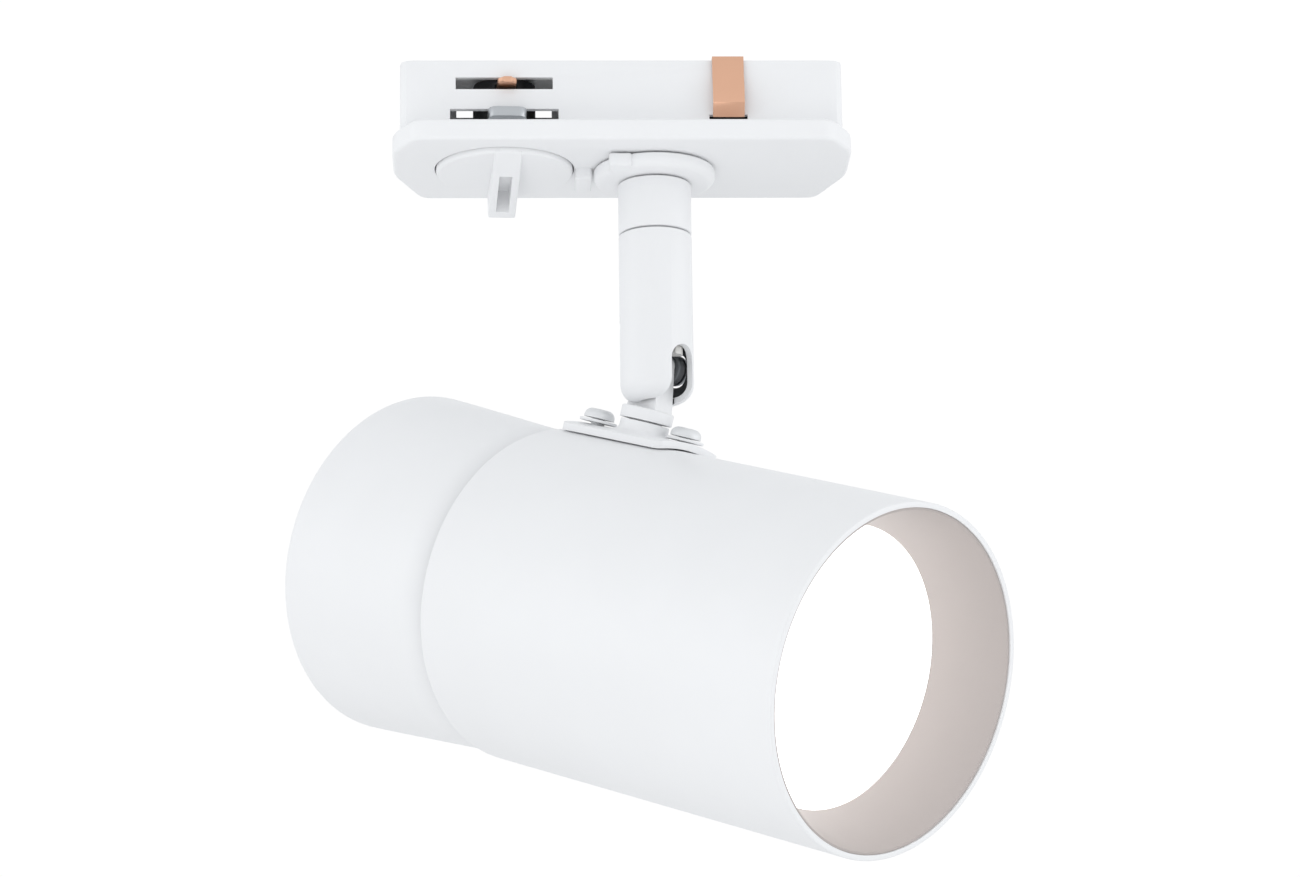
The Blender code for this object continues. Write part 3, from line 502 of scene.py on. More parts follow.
def block(name: str, low: Spot, high: Spot, place: Matrix, soft: float = 0.0) -> bpy.types.Object:
    """A box between two corners.

    Args:
        name: the piece's name.
        low, high: its opposite corners in millimetres.
        place: axes that it is drawn in.
        soft: radius of its edges, 0 for sharp ones.

    Returns:
        The object, with its place in its mesh.
    """
    builder = bmesh.new()
    bmesh.ops.create_cube(builder, size=1.0)
    low, high = Vector(map(min, low, high)), Vector(map(max, low, high))
    bmesh.ops.scale(builder, vec=(high - low) * MM, verts=builder.verts)
    bmesh.ops.translate(builder, vec=(high + low) / 2 * MM, verts=builder.verts)
    if soft:
        bmesh.ops.bevel(builder, geom=builder.edges[:], offset=soft * MM, segments=3, profile=0.5,
                        affect="EDGES")
    mesh = bpy.data.meshes.new(name)
    builder.to_mesh(mesh)
    builder.free()
    obj = link(name, mesh)
    obj.data.transform(place)
    return obj


def prism(name: str, outline: list[Point], low: float, high: float, place: Matrix) -> bpy.types.Object:
    """A flat outline given a thickness along the place's +Z.

    Args:
        name: the piece's name.
        outline: its points in millimetres.
        low, high: where it starts and ends.
        place: axes that it is drawn in.

    Returns:
        The object, with its place in its mesh.
    """
    builder = bmesh.new()
    bottom = [builder.verts.new((x * MM, y * MM, low * MM)) for x, y in outline]
    top = [builder.verts.new((x * MM, y * MM, high * MM)) for x, y in outline]
    builder.faces.new(list(reversed(bottom)))
    builder.faces.new(top)
    for i, (near, above) in enumerate(zip(bottom, top)):
        j = (i + 1) % len(outline)
        builder.faces.new((near, bottom[j], top[j], above))
    mesh = bpy.data.meshes.new(name)
    builder.to_mesh(mesh)
    builder.free()
    obj = link(name, mesh)
    close_up(obj)
    obj.data.transform(place)
    return obj


def rounded(outline: list[Point], radius: float, points: int = 8) -> list[Point]:
    """Eases each corner of an outline into a short curve.

    Args:
        outline: the sharp outline.
        radius: how far from the corner each curve starts.
        points: points on each curve.

    Returns:
        The eased outline.
    """
    result: list[Point] = []
    for i, corner in enumerate(outline):
        here = Vector(corner)
        before = (Vector(outline[i - 1]) - here).normalized() * radius
        after = (Vector(outline[(i + 1) % len(outline)]) - here).normalized() * radius
        for step in range(points):
            t = step / (points - 1)
            spot = (here + before) * (1 - t) ** 2 + 2 * here * t * (1 - t) + (here + after) * t * t
            result.append((spot.x, spot.y))
    return result


def rod(name: str, radius: float, low: float, high: float, place: Matrix,
        segments: int = 64) -> bpy.types.Object:
    """A plain round bar along the place's +Z.

    Args:
        name: the piece's name.
        radius: its radius in millimetres.
        low, high: where it starts and ends.
        place: axes that it is drawn in.
        segments: sides of the bar.

    Returns:
        The object, with its place in its mesh.
    """
    outline = [(radius * math.cos(math.tau * i / segments), radius * math.sin(math.tau * i / segments))
               for i in range(segments)]
    return prism(name, outline, low, high, place)


def carve(obj: bpy.types.Object, cut: Cut, *others: bpy.types.Object) -> bpy.types.Object:
    """Joins, cuts or crops an object by others, which are used up.

    Args:
        obj: the object, which changes.
        cut: what the others do to it.
        others: the solids that do it.

    Returns:
        The same object.
    """
    for other in others:
        step = obj.modifiers.new(cut.name.lower(), "BOOLEAN")
        step.operation = cut.value
        step.solver = "EXACT"
        step.object = other
    bake(obj)
    for other in others:
        bpy.data.objects.remove(other, do_unlink=True)
    return obj


def ease(obj: bpy.types.Object, width: float, segments: int = 3, angle: float = 32.0) -> bpy.types.Object:
    """Rounds the sharp edges that moulding, coating or deburring leaves soft.

    Args:
        obj: the object, which changes.
        width: how far from the edge the round starts, in millimetres.
        segments: faces across it.
        angle: degrees beyond which an edge is sharp.

    Returns:
        The same object.
    """
    bevel = obj.modifiers.new("eased_edges", "BEVEL")
    bevel.width = width * MM
    bevel.segments = segments
    bevel.limit_method = "ANGLE"
    bevel.angle_limit = math.radians(angle)
    bevel.use_clamp_overlap = True
    bake(obj)
    return obj


def softened_copy(node: str, width: float) -> bpy.types.Object:
    """A copy of a CAD node with its flat faces whole again and its edges rounded.

    Args:
        node: the node's name.
        width: how far from the edge the round starts, in millimetres.

    Returns:
        The copy.
    """
    obj = link(node + "_look", frame["nodes"][node].data.copy())
    builder = bmesh.new()
    builder.from_mesh(obj.data)
    bmesh.ops.remove_doubles(builder, verts=builder.verts, dist=CAD_WELD)
    bmesh.ops.dissolve_limit(builder, angle_limit=math.radians(1.0), verts=builder.verts,
                             edges=builder.edges)
    builder.to_mesh(obj.data)
    builder.free()
    return ease(obj, width, segments=2)


def hand_over(obj: bpy.types.Object, body: Body, *nodes: str, angle: float = 38.0,
              look: str = "") -> None:
    """Dresses a piece as its CAD node is dressed, sets it on its body and hides the node.

    Args:
        obj: the finished piece.
        body: what it moves with.
        nodes: the CAD nodes that it stands for; the first gives its finish.
        angle: degrees beyond which an edge stays crisp.
        look: a finish to wear in place of the slot's own.
    """
    slot = SLOT_OF[nodes[0]]
    obj.data.materials.clear()
    obj.data.materials.append(FINISHES[look or slot].material())
    for face in obj.data.polygons:
        face.material_index = 0
    obj.data.shade_smooth()
    obj.data.set_sharp_from_angle(angle=math.radians(angle))
    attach(obj, body.value)
    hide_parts(*nodes)
    log.info("%s: %d faces on %s", obj.name, len(obj.data.polygons), body.value)


TURNING = turning_tree()
SCREWS = screw_tree()


@dataclass(frozen=True)
class PanHead:
    """Sizes of a pan-head screw, in millimetres.

    Attributes:
        head, height: its head's radius and height.
        shank, length: its shank's radius and length.
    """

    head: float
    height: float
    shank: float
    length: float


@dataclass
class ScrewSet:
    """Like screws of one body, all standing the same way.

    Attributes:
        name: the set's name.
        nodes: the CAD screws that they stand for.
        seats: (x, y, z, drive angle in degrees) of each head's underside.
        size: the sizes of one screw.
        look: a finish to wear in place of the slot's own.
        recess: height of the cross that cuts the head, as a share of the head's.
    """

    name: str
    nodes: tuple[str, ...]
    seats: tuple[tuple[float, float, float, float], ...]
    size: PanHead
    look: str = ""
    recess: float = 0.9

    def build(self, place: Matrix, body: Body) -> None:
        """Makes the screws.

        Args:
            place: axes that their seats are given in.
            body: what they move with.
        """
        mesh = bpy.data.meshes.new(self.name)
        mesh.from_pydata([(x * MM, y * MM, z * MM) for x, y, z, _ in self.seats], [], [])
        drive = mesh.attributes.new("drive", "FLOAT", "POINT")
        for entry, seat in zip(drive.data, self.seats):
            entry.value = math.radians(seat[3])
        obj = link(self.name, mesh)
        size = self.size
        SCREWS.run(obj, {"Head": size.head * MM, "Height": size.height * MM, "Shank": size.shank * MM,
                         "Length": size.length * MM, "Recess": size.height * self.recess * MM,
                         "Finish": FINISHES["zinc_steel"].material()})
        obj.data.transform(place)
        hand_over(obj, body, *self.nodes, angle=30.0, look=self.look)


# ---------------------------------------------------------------- sub-assemblies

@dataclass
class Adapter:
    """Cover plate and housing that go up to the track.

    Attributes:
        left, right, half, thick: the plate's ends, half width and thickness.
        near_corner, far_corner: how far each chamfer runs along and across.
        corner: reach of the curve that eases the plate's corners.
        housing_ends, housing_half, housing_wall, housing_top: the housing that stands on the plate.
        housing_corner: reach of the curve at the housing's corners.
        groove_depth: depth of the groove that the housing's walls stand in.
        well_x, well_radius, well_floor: the round well that the lever turns in.
        shaft_hole, stem_hole: radii of the holes for the lever's shaft and for the stem.
        posts, post_radius, post_ends: the screw posts inside the housing.
        stop_low, stop_high: corners of the block that the collar's lug meets.
        screw, screw_turn: the housing screws and the angle of their cross.
    """

    left: float = -46.5
    right: float = 34.7
    half: float = 16.4
    thick: float = 3.9
    near_corner: Point = (4.0, 7.6)
    far_corner: Point = (4.6, 12.5)
    corner: float = 2.2
    housing_ends: Point = (-45.2, 33.4)
    housing_half: float = 8.1
    housing_wall: float = 1.2
    housing_top: float = 13.8
    housing_corner: float = 2.5
    groove_depth: float = 0.4
    well_x: float = -26.7
    well_radius: float = 12.45
    well_floor: float = -1.2
    shaft_hole: float = 5.3
    stem_hole: float = 4.3
    posts: Point = (-41.9, 29.6)
    post_radius: float = 1.7
    post_ends: Point = (-0.6, 12.2)
    stop_low: Spot = (-14.1, -1.0, -5.9)
    stop_high: Spot = (-11.1, 7.0, -2.0)
    screw: PanHead = PanHead(2.4, 1.3, 0.6, 9.0)
    screw_turn: float = 20.0

    def outline(self) -> list[Point]:
        """The plate from above, with two small chamfers near and two long ones far.

        Returns:
            Its points in millimetres.
        """
        (near_x, near_y), (far_x, far_y) = self.near_corner, self.far_corner
        left, right, half = self.left, self.right, self.half
        return rounded([(left + near_x, -half), (right - near_x, -half), (right, -half + near_y),
                        (right, half - far_y), (right - far_x, half), (left + far_x, half),
                        (left, half - far_y), (left, -half + near_y)], self.corner)

    def housing_outline(self, inset: float) -> list[Point]:
        """The housing from above.

        Args:
            inset: how far it is drawn in, all round.

        Returns:
            Its points in millimetres.
        """
        left, right = self.housing_ends[0] + inset, self.housing_ends[1] - inset
        half, reach = self.housing_half - inset, self.housing_corner - inset
        return rounded([(left, -half), (right, -half), (right, half), (left, half)], reach)

    def _groove(self, plate: bpy.types.Object, at: Places) -> None:
        """Cuts the groove that the housing's walls stand in.

        Args:
            plate: the plate, which changes.
            at: the sub-assemblies' axes.
        """
        groove = prism("groove", self.housing_outline(-GAP), -self.groove_depth, 1, at.track)
        core = prism("groove_core", self.housing_outline(self.housing_wall + GAP), -1, 2, at.track)
        carve(plate, Cut.TAKE, carve(groove, Cut.TAKE, core))

    def build(self, at: Places) -> None:
        """Makes the plate, then eases the CAD pieces that show above it.

        Args:
            at: the sub-assemblies' axes.
        """
        plate = ease(prism("cover_plate_look", self.outline(), -self.thick, 0, at.track), 0.7, 4)
        self._groove(plate, at)
        lever_place, below = at.track @ shift(self.well_x), -self.thick - 1
        carve(plate, Cut.TAKE, rod("well", self.well_radius, below, self.well_floor, lever_place),
              rod("shaft_hole", self.shaft_hole, -2, 1, lever_place),
              rod("stem_hole", self.stem_hole, below, 1, at.track))
        stop = block("stop", self.stop_low, self.stop_high, at.track, 0.5)
        bosses = [rod("post", self.post_radius, *self.post_ends, at.track @ shift(x), 32) for x in self.posts]
        carve(plate, Cut.ADD, stop, *bosses)
        hand_over(plate, Body.ADAPTER, "cover_plate")
        for node, width in (("adapter_housing", 0.35), ("terminal_block", 0.2), ("earth_spring", 0.08)):
            hand_over(softened_copy(node, width), Body.ADAPTER, node)
        seats = tuple((x, 0, self.housing_top + GAP, self.screw_turn) for x in self.posts)
        ScrewSet("housing_screws", ("housing_screw_1", "housing_screw_2"), seats,
                 self.screw).build(at.track, Body.ADAPTER)


@dataclass
class LockLever:
    """Turning disc with its finger ramp, and the bar and carrier that it turns.

    Attributes:
        radius, face, back: the disc.
        edge: depth of the disc's soft edge, which the ramp starts behind.
        ramp_rear: where the ramp starts, across the track.
        ramp_tip: the blunt tip that a finger pulls.
        ramp_front: where the ramp comes back to the disc.
        ramp_half: half its width.
        groove_half, groove_ends, groove_roof: the grip's groove.
    """

    radius: float = 12.15
    face: float = -4.9
    back: float = -1.5
    edge: float = 0.6
    ramp_rear: float = -12.0
    ramp_tip: tuple[Point, ...] = ((8.1, -10.0), (8.6, -10.1), (9.1, -9.7))
    ramp_front: float = 11.2
    ramp_half: float = 2.45
    groove_half: float = 1.15
    groove_ends: Point = (-4.6, 6.7)
    groove_roof: float = -5.6

    def build(self, at: Places) -> None:
        """Makes the lever.

        Args:
            at: the sub-assemblies' axes.
        """
        disc = turned("lever_disc_look", [(0, self.back), (self.radius, self.back, 0.25),
                                          (self.radius, self.face, self.edge), (0, self.face)], at.lever, 128,
                      closed=False)
        root, below = self.face + self.edge, -20.0
        side = [(self.ramp_rear, root), (self.ramp_rear, self.face), *self.ramp_tip, (self.ramp_front, root)]
        on_side = at.lever @ ALONG_X
        ramp = ease(prism("ramp", side, -self.ramp_half, self.ramp_half, on_side), 0.35, 3)
        start, end = self.groove_ends
        opening = [(start, self.groove_roof), (start, below), (end, below), (end, self.groove_roof)]
        groove = prism("groove", opening, -self.groove_half, self.groove_half, on_side)
        carve(disc, Cut.ADD, ramp)
        carve(disc, Cut.TAKE, groove)
        hand_over(disc, Body.LEVER, "lever_disc")
        for node, width in (("lock_bar", 0.15), ("lever_shaft", 0.15), ("contact_carrier", 0.2)):
            hand_over(softened_copy(node, width), Body.LEVER, node)


@dataclass
class Swivel:
    """Collar, two tubes and the pivot that the head hangs on.

    Attributes:
        collar_radius, collar_top, collar_low: the collar under the plate.
        lug_near, lug_far: corners, from above, of the lug that stops the turn.
        tube, bore, nipple: radii of the tubes, the lower tube's bore and the nipple's hole.
        nipple_end: where the lower tube's bore widens.
        seam, low, dome: the seam's height, the tube's end and the round on it.
        slot_half, slot_top, rear_rise: the slot ahead, and how much higher the one behind goes.
        swing_radius, swing_half: the room that the neck swings in.
        pivot_bore: radius of the bush's hole.
        bush_radius, bush_near, bush_far: the bush on the pivot.
        screw, screw_seat, screw_turn: the pivot screw, its head's underside and its cross's angle.
    """

    collar_radius: float = 10.8
    collar_top: float = -4.2
    collar_low: float = -6.75
    lug_near: Point = (-8.3, -10.4)
    lug_far: Point = (-4.3, -6.0)
    tube: float = 6.5
    bore: float = 5.4
    nipple: float = 4.3
    nipple_end: float = -24.0
    seam: float = -16.45
    low: float = -47.1
    dome: float = 3.4
    slot_half: float = 2.7
    slot_top: float = -37.7
    rear_rise: float = 0.35
    swing_radius: float = 7.58
    swing_half: float = 5.0
    pivot_bore: float = 1.55
    bush_radius: float = 2.6
    bush_near: float = 3.1
    bush_far: float = 4.6
    screw: PanHead = PanHead(2.7, 1.5, 1.25, 9.2)
    screw_seat: float = 4.9
    screw_turn: float = 30.0

    def build(self, at: Places) -> None:
        """Makes the collar, the tubes, the bush and the pivot screw.

        Args:
            at: the sub-assemblies' axes.
        """
        collar = turned("collar_look", [(self.nipple, self.collar_top),
                                        (self.collar_radius, self.collar_top, 0.4),
                                        (self.collar_radius, self.collar_low, 1.4),
                                        (self.nipple, self.collar_low)], at.track, 128, 6)
        lug = block("lug", (*self.lug_near, self.collar_low + 0.1), (*self.lug_far, self.collar_top - 0.02),
                    at.track, 0.45)
        hand_over(carve(collar, Cut.ADD, lug), Body.STEM, "swivel_collar")

        top, joint = self.collar_low - GAP, self.seam + GAP / 2
        upper = turned("upper_tube_look", [(self.tube, top, 0.2), (self.tube, joint, 0.25),
                                           (self.nipple, joint), (self.nipple, top)], at.stem)
        hand_over(upper, Body.STEM, "upper_tube")
        pivot = at.stem @ shift(z=at.pivot_z) @ ALONG_Y
        self._lower_tube(at, pivot)
        bush = turned("pivot_bush_look", [(self.bush_radius, self.bush_far, 0.2),
                                          (self.bush_radius, self.bush_near, 0.2),
                                          (self.pivot_bore, self.bush_near),
                                          (self.pivot_bore, self.bush_far)], pivot, 64)
        hand_over(bush, Body.STEM, "pivot_bush", look="dull_zinc")
        ScrewSet("pivot_screw_look", ("pivot_screw",), ((0, 0, self.screw_seat, self.screw_turn),),
                 self.screw).build(pivot, Body.STEM)

    def _lower_tube(self, at: Places, pivot: Matrix) -> None:
        """Makes the slotted tube that the tongue swings in.

        Args:
            at: the sub-assemblies' axes.
            pivot: the tilt pivot's axes.
        """
        start, wall, flat = self.seam - GAP / 2, self.tube - self.bore, self.tube - self.dome
        tube = turned("lower_tube_look", [(self.tube, start, 0.25), (self.tube, self.low, self.dome),
                                          (flat, self.low, 0.1), (flat, self.low + wall, 0.1),
                                          (self.bore, self.low + wall, self.dome - wall),
                                          (self.bore, self.nipple_end - 1), (self.nipple, self.nipple_end),
                                          (self.nipple, start)], at.stem, 128, 10)
        past, below, half = 12.0, self.low - 2, self.slot_half
        end = self.slot_top - half
        far, near, side = 30.0, self.swing_radius, self.swing_half
        sweep = turned("sweep", [(far, side), (far, -side), (near, -side), (near, side)], pivot, 160)
        behind = block("behind", (-40, -10, -80), (-0.5, 10, at.pivot_z + 8), at.stem)
        carve(sweep, Cut.CROP, behind)
        carve(tube, Cut.TAKE, rod("slot_end", half, 0, past, at.stem @ shift(z=end) @ ALONG_X),
              block("slot", (0, -half, below), (past, half, end), at.stem),
              block("rear_slot", (-past, -half, below), (0, half, self.slot_top + self.rear_rise), at.stem),
              sweep,
              rod("screw_hole", self.screw.head + GAP, 3, 9, pivot, 48))
        hand_over(ease(tube, 0.12, 2), Body.STEM, "lower_tube")
        # the bore's inner faces get a painted shade
        self._paint_shade_in_bore(tube)

    def _paint_shade_in_bore(self, tube: bpy.types.Object) -> None:
        """Gives the faces that look in at the tube's axis a near-black painted shade, so the slot shows dark
        inside.

        Args:
            tube: the lower tube, which changes.
        """
        tube.data.materials.append(FINISHES["bore_painted_shade"].material())
        for face in tube.data.polygons:
            out = Vector((face.center.x, face.center.y, 0))
            if out.length < (self.bore + 0.05) * MM and face.normal.dot(out.normalized()) < -0.8:
                face.material_index = 1


@dataclass
class Neck:
    """Knuckle under the stem and the saddle that spreads it over the sleeve.

    Places are along the head's axis (a), across it (b) and up from it (n).

    Attributes:
        pivot_a, pivot_n, pivot_bore: the tilt pivot and the tongue's hole on it.
        neck_a: where the neck stands.
        bead, bead_low, bead_top: the neck's round part.
        spigot, spigot_low, spigot_bore: the hollow spigot that goes through the saddle.
        tongue_half, tongue_tip: half thickness and end radius of the tongue.
        tongue_foot: how far the tongue's foot runs behind and ahead of the neck's axis.
        saddle_rear, saddle_front, saddle_half, saddle_top, saddle_under: the rolled plate.
        saddle_corner: reach of the curve at the plate's corners.
        boss, boss_round, boss_foot: radii of the boss's top, of its flare and of its foot.
        neck_hole, screw_hole: radii of the saddle's holes.
        washer, washer_thick, washer_lift: the screw washers and the gap under them.
        screw, screws: the screws' sizes and each one's place and cross angle.
    """

    pivot_a: float = -15.4
    pivot_n: float = 43.98
    pivot_bore: float = 1.55
    neck_a: float = -14.9
    bead: float = 4.7
    bead_low: float = 33.9
    bead_top: float = 36.1
    spigot: float = 3.0
    spigot_low: float = 25.4
    spigot_bore: float = 1.9
    tongue_half: float = 2.2
    tongue_tip: float = 2.25
    tongue_foot: Point = (3.4, 4.0)
    saddle_rear: float = -27.6
    saddle_front: float = -2.9
    saddle_half: float = 7.86
    saddle_top: float = 31.6
    saddle_under: float = 30.3
    saddle_corner: float = 1.6
    boss: float = 4.4
    boss_round: float = 1.0
    boss_foot: Point = (6.0, 31.0)
    neck_hole: float = 3.3
    screw_hole: float = 1.5
    washer: float = 3.4
    washer_thick: float = 0.5
    washer_lift: float = 0.25
    screw: PanHead = PanHead(2.75, 1.7, 1.2, 6.4)
    screws: tuple[Spot, ...] = ((-23.9, -2.4, 12.0), (-6.8, 2.3, 44.0))

    def build(self, at: Places) -> None:
        """Makes the knuckle, the saddle, its washers and its screws.

        Args:
            at: the sub-assemblies' axes.
        """
        neck = at.head @ shift(self.neck_a)
        self._knuckle(at, neck)
        self._saddle(at, neck)
        low = self.saddle_top + self.washer_lift
        high, outer, inner = low + self.washer_thick, self.washer, self.screw_hole
        for number, (a, b, _) in enumerate(self.screws, 1):
            washer = turned(f"saddle_washer_{number}_look", [(outer, high, 0.12), (outer, low, 0.12),
                                                             (inner, low), (inner, high)],
                            at.head @ shift(a, b), 64)
            hand_over(washer, Body.HEAD, f"saddle_washer_{number}")
        seats = tuple((a, b, self.saddle_top + 1.0, turn) for a, b, turn in self.screws)
        ScrewSet("saddle_screws", ("saddle_screw_1", "saddle_screw_2"), seats, self.screw,
                 look="bright_zinc").build(at.head, Body.HEAD)

    def _knuckle(self, at: Places, neck: Matrix) -> None:
        """Makes the round neck with its tongue above and its spigot below.

        Args:
            at: the sub-assemblies' axes.
            neck: the neck's axes.
        """
        knuckle = turned("knuckle_look", [(0, self.bead_top), (self.bead, self.bead_top, 0.35),
                                          (self.bead, self.bead_low, 0.15), (self.spigot, self.bead_low),
                                          (self.spigot, self.spigot_low), (self.spigot_bore, self.spigot_low),
                                          (self.spigot_bore, self.bead_low + 0.4), (0, self.bead_low + 0.8)],
                         neck, 96, 4, closed=False)
        hinge = at.head @ shift(self.pivot_a, 0, self.pivot_n) @ ALONG_Y
        root, tip, half = self.bead_top - 1.0, self.tongue_tip, self.tongue_half
        behind, ahead = self.tongue_foot
        tapered = [(self.pivot_a - tip, -self.pivot_n), (self.neck_a - behind, -root),
                   (self.neck_a + ahead, -root), (self.pivot_a + tip, -self.pivot_n)]
        upright = axes(Vector((1, 0, 0)), Vector((0, 0, -1)), Vector((0, 1, 0)), Vector())
        tongue = prism("tongue", tapered, -half, half, at.head @ upright)
        carve(knuckle, Cut.ADD, tongue, rod("tongue_tip", tip, -half, half, hinge, 48))
        carve(knuckle, Cut.TAKE, rod("tongue_hole", self.pivot_bore, -5, 5, hinge, 32))
        hand_over(ease(knuckle, 0.12, 2), Body.HEAD, "knuckle")

    def _saddle(self, at: Places, neck: Matrix) -> None:
        """Makes the rolled plate with its flared boss.

        Args:
            at: the sub-assemblies' axes.
            neck: the neck's axes.
        """
        middle, reach = (self.saddle_rear + self.saddle_front) / 2, (self.saddle_front - self.saddle_rear) / 2
        roll = at.head @ shift(middle) @ ALONG_X
        plate = turned("saddle_look", [(self.saddle_top, -reach), (self.saddle_top, reach),
                                       (self.saddle_under, reach), (self.saddle_under, -reach)], roll, 288)
        under, over, half = 20, 40, self.saddle_half
        corners = rounded([(-reach, -half), (reach, -half), (reach, half), (-reach, half)],
                          self.saddle_corner)
        carve(plate, Cut.CROP, prism("saddle_outline", corners, under, over, at.head @ shift(middle)))
        ease(plate, 0.22, 3)
        top, centre = self.bead_low - GAP, self.bead_low - GAP - self.boss_round
        turns = [math.radians(190 + 74 * step / 8) for step in range(9)]
        flare = [(self.boss + self.boss_round * (1 + math.cos(turn)),
                  centre + self.boss_round * math.sin(turn)) for turn in turns]
        foot_radius, foot = self.boss_foot
        boss = turned("boss", [(0, top), (self.boss, top), *flare, (foot_radius, foot), (0, foot)], neck, 96,
                      closed=False)
        carve(plate, Cut.ADD, boss)
        holes = [rod("screw_hole", self.screw_hole, under, over, at.head @ shift(a, b), 32)
                 for a, b, _ in self.screws]
        carve(plate, Cut.TAKE, rod("neck_bore", self.neck_hole, under, over, neck), *holes)
        hand_over(plate, Body.HEAD, "saddle_plate")


@dataclass
class Shells:
    """Front sleeve, waisted rear casing and the cone in the mouth.

    Attributes:
        sleeve, bore, front, rear: the sleeve's radii and its ends along the head's axis.
        end, flare: the casing's closed end and its radius there.
        waist, waist_at: its radius where it is straight, and where the cove starts.
        neck, neck_at, shut_at: its radius in the sleeve, where the cove ends and its open end.
        wall, floor: how thick its wall and its closed end are.
        steps: rings on the cove.
        plain_rings: rings on the straight part.
        recess: how far the cone's lip stands back from the sleeve's front.
        lip, lip_depth, cone_mouth: the lip's radius and depth, and the cone's radius at it.
        throat, throat_out, throat_at: the cone's inner and outer radius at the lamp, and its end.
    """

    sleeve: float = 30.0
    bore: float = 29.0
    front: float = 54.6
    rear: float = -28.9
    end: float = -64.6
    flare: float = 31.05
    waist: float = 29.45
    waist_at: float = -36.5
    neck: float = 26.8
    neck_at: float = -29.2
    shut_at: float = -28.2
    wall: float = 1.6
    floor: float = 2.0
    steps: int = 16
    plain_rings: Spot = (-43.0, -50.0, -57.0)
    recess: float = 0.3
    lip: float = 28.97
    lip_depth: float = 1.3
    cone_mouth: float = 28.55
    throat: float = 24.15
    throat_out: float = 25.05
    throat_at: float = 41.22

    def casing_radius(self, a: float) -> float:
        """The casing's outer radius.

        Args:
            a: a place along the head's axis.

        Returns:
            The radius there.
        """
        if a > self.waist_at:
            t = min((a - self.waist_at) / (self.neck_at - self.waist_at), 1.0)
            return self.waist - (self.waist - self.neck) * (1 - math.cos(math.pi / 2 * t))
        t = (self.waist_at - a) / (self.waist_at - self.end)
        return self.waist + (self.flare - self.waist) * min(t * 1.05, 1.0)

    def build(self, at: Places) -> None:
        """Makes the three turned shells.

        Args:
            at: the sub-assemblies' axes.
        """
        forward = at.head @ ALONG_X
        sleeve = turned("front_sleeve_look", [(self.sleeve, self.front, 0.3), (self.sleeve, self.rear, 0.3),
                                              (self.bore, self.rear, 0.15), (self.bore, self.front, 0.1)],
                        forward, 224, 5)
        hand_over(sleeve, Body.HEAD, "front_sleeve")
        self._casing(forward)

        mouth = self.front - self.recess
        profile = [(self.lip, mouth, 0.05), (self.lip, mouth - self.lip_depth),
                   (self.throat_out, self.throat_at), (self.throat, self.throat_at, 0.1),
                   (self.cone_mouth, mouth, 0.05)]
        cone = turned("baffle_cone_look", profile, forward, 192)
        hand_over(cone, Body.HEAD, "baffle_cone")

    def _casing(self, forward: Matrix) -> None:
        """Makes the casing: a cup whose profile crosses the axis twice, drawn from axis to axis.

        Args:
            forward: axes whose +Z runs along the head.
        """
        cove = self.neck_at - self.waist_at
        spans = [self.waist_at + cove * i / self.steps for i in range(self.steps + 1)]
        outer = [(self.neck, self.shut_at, 0.2)] + [(self.casing_radius(a), a) for a in reversed(spans)]
        outer += [(self.casing_radius(a), a) for a in self.plain_rings] + [(self.flare, self.end, 1.1)]
        wall, floor = self.wall, self.end + self.floor
        inner = [(self.flare - wall, floor, 0.8), (self.waist - wall, self.waist_at - 1.0),
                 (self.neck - wall, self.shut_at - 3.0), (self.neck - wall, self.shut_at)]
        profile = [(0, floor)] + inner + outer + [(0, self.end)]
        casing = turned("rear_casing_look", profile, forward, 224, 6, closed=False)
        hand_over(casing, Body.HEAD, "rear_casing")


@dataclass
class ReflectorLamp:
    """Reflector body behind an opal face.

    Attributes:
        face, face_radius, face_thick: the face.
        rim, rim_front, rim_rear: the body's rim.
        bowl_mouth, bowl_front: radius and place of the bowl's wide end.
        bowl_drop, bowl_depth: how far the bowl narrows and runs back.
        bowl_steps: rings on the bowl.
        neck, neck_step, base, base_front, base_end: the neck behind the bowl and the base.
    """

    face: float = 41.2
    face_radius: float = 24.5
    face_thick: float = 1.1
    rim: float = 25.0
    rim_front: float = 39.8
    rim_rear: float = 37.2
    bowl_mouth: float = 24.2
    bowl_front: float = 36.4
    bowl_drop: float = 12.4
    bowl_depth: float = 30.0
    bowl_steps: int = 12
    neck: float = 10.6
    neck_step: float = 4.0
    base: float = 8.6
    base_front: float = 2.5
    base_end: float = -8.8

    def build(self, at: Places) -> None:
        """Makes the lamp's face and its body.

        Args:
            at: the sub-assemblies' axes.
        """
        forward = at.head @ ALONG_X
        back = self.face - self.face_thick
        lens = turned("lamp_lens_look", [(0, self.face), (self.face_radius, self.face, 0.5),
                                         (self.face_radius, back), (0, back)], forward, 160, closed=False)
        hand_over(lens, Body.LAMP, "lamp_lens")
        rim = [(0, self.rim_front), (self.rim, self.rim_front, 0.3), (self.rim, self.rim_rear)]
        bowl = [(self.bowl_mouth - self.bowl_drop * (t / self.bowl_steps) ** 0.8,
                 self.bowl_front - self.bowl_depth * t / self.bowl_steps) for t in range(self.bowl_steps + 1)]
        base = [(self.neck, self.neck_step), (self.base, self.base_front, 0.4),
                (self.base, self.base_end, 0.4), (0, self.base_end)]
        shell = turned("lamp_body_look", rim + bowl + base, forward, 128, closed=False)
        hand_over(shell, Body.LAMP, "lamp_body")


# ---------------------------------------------------------------- studio

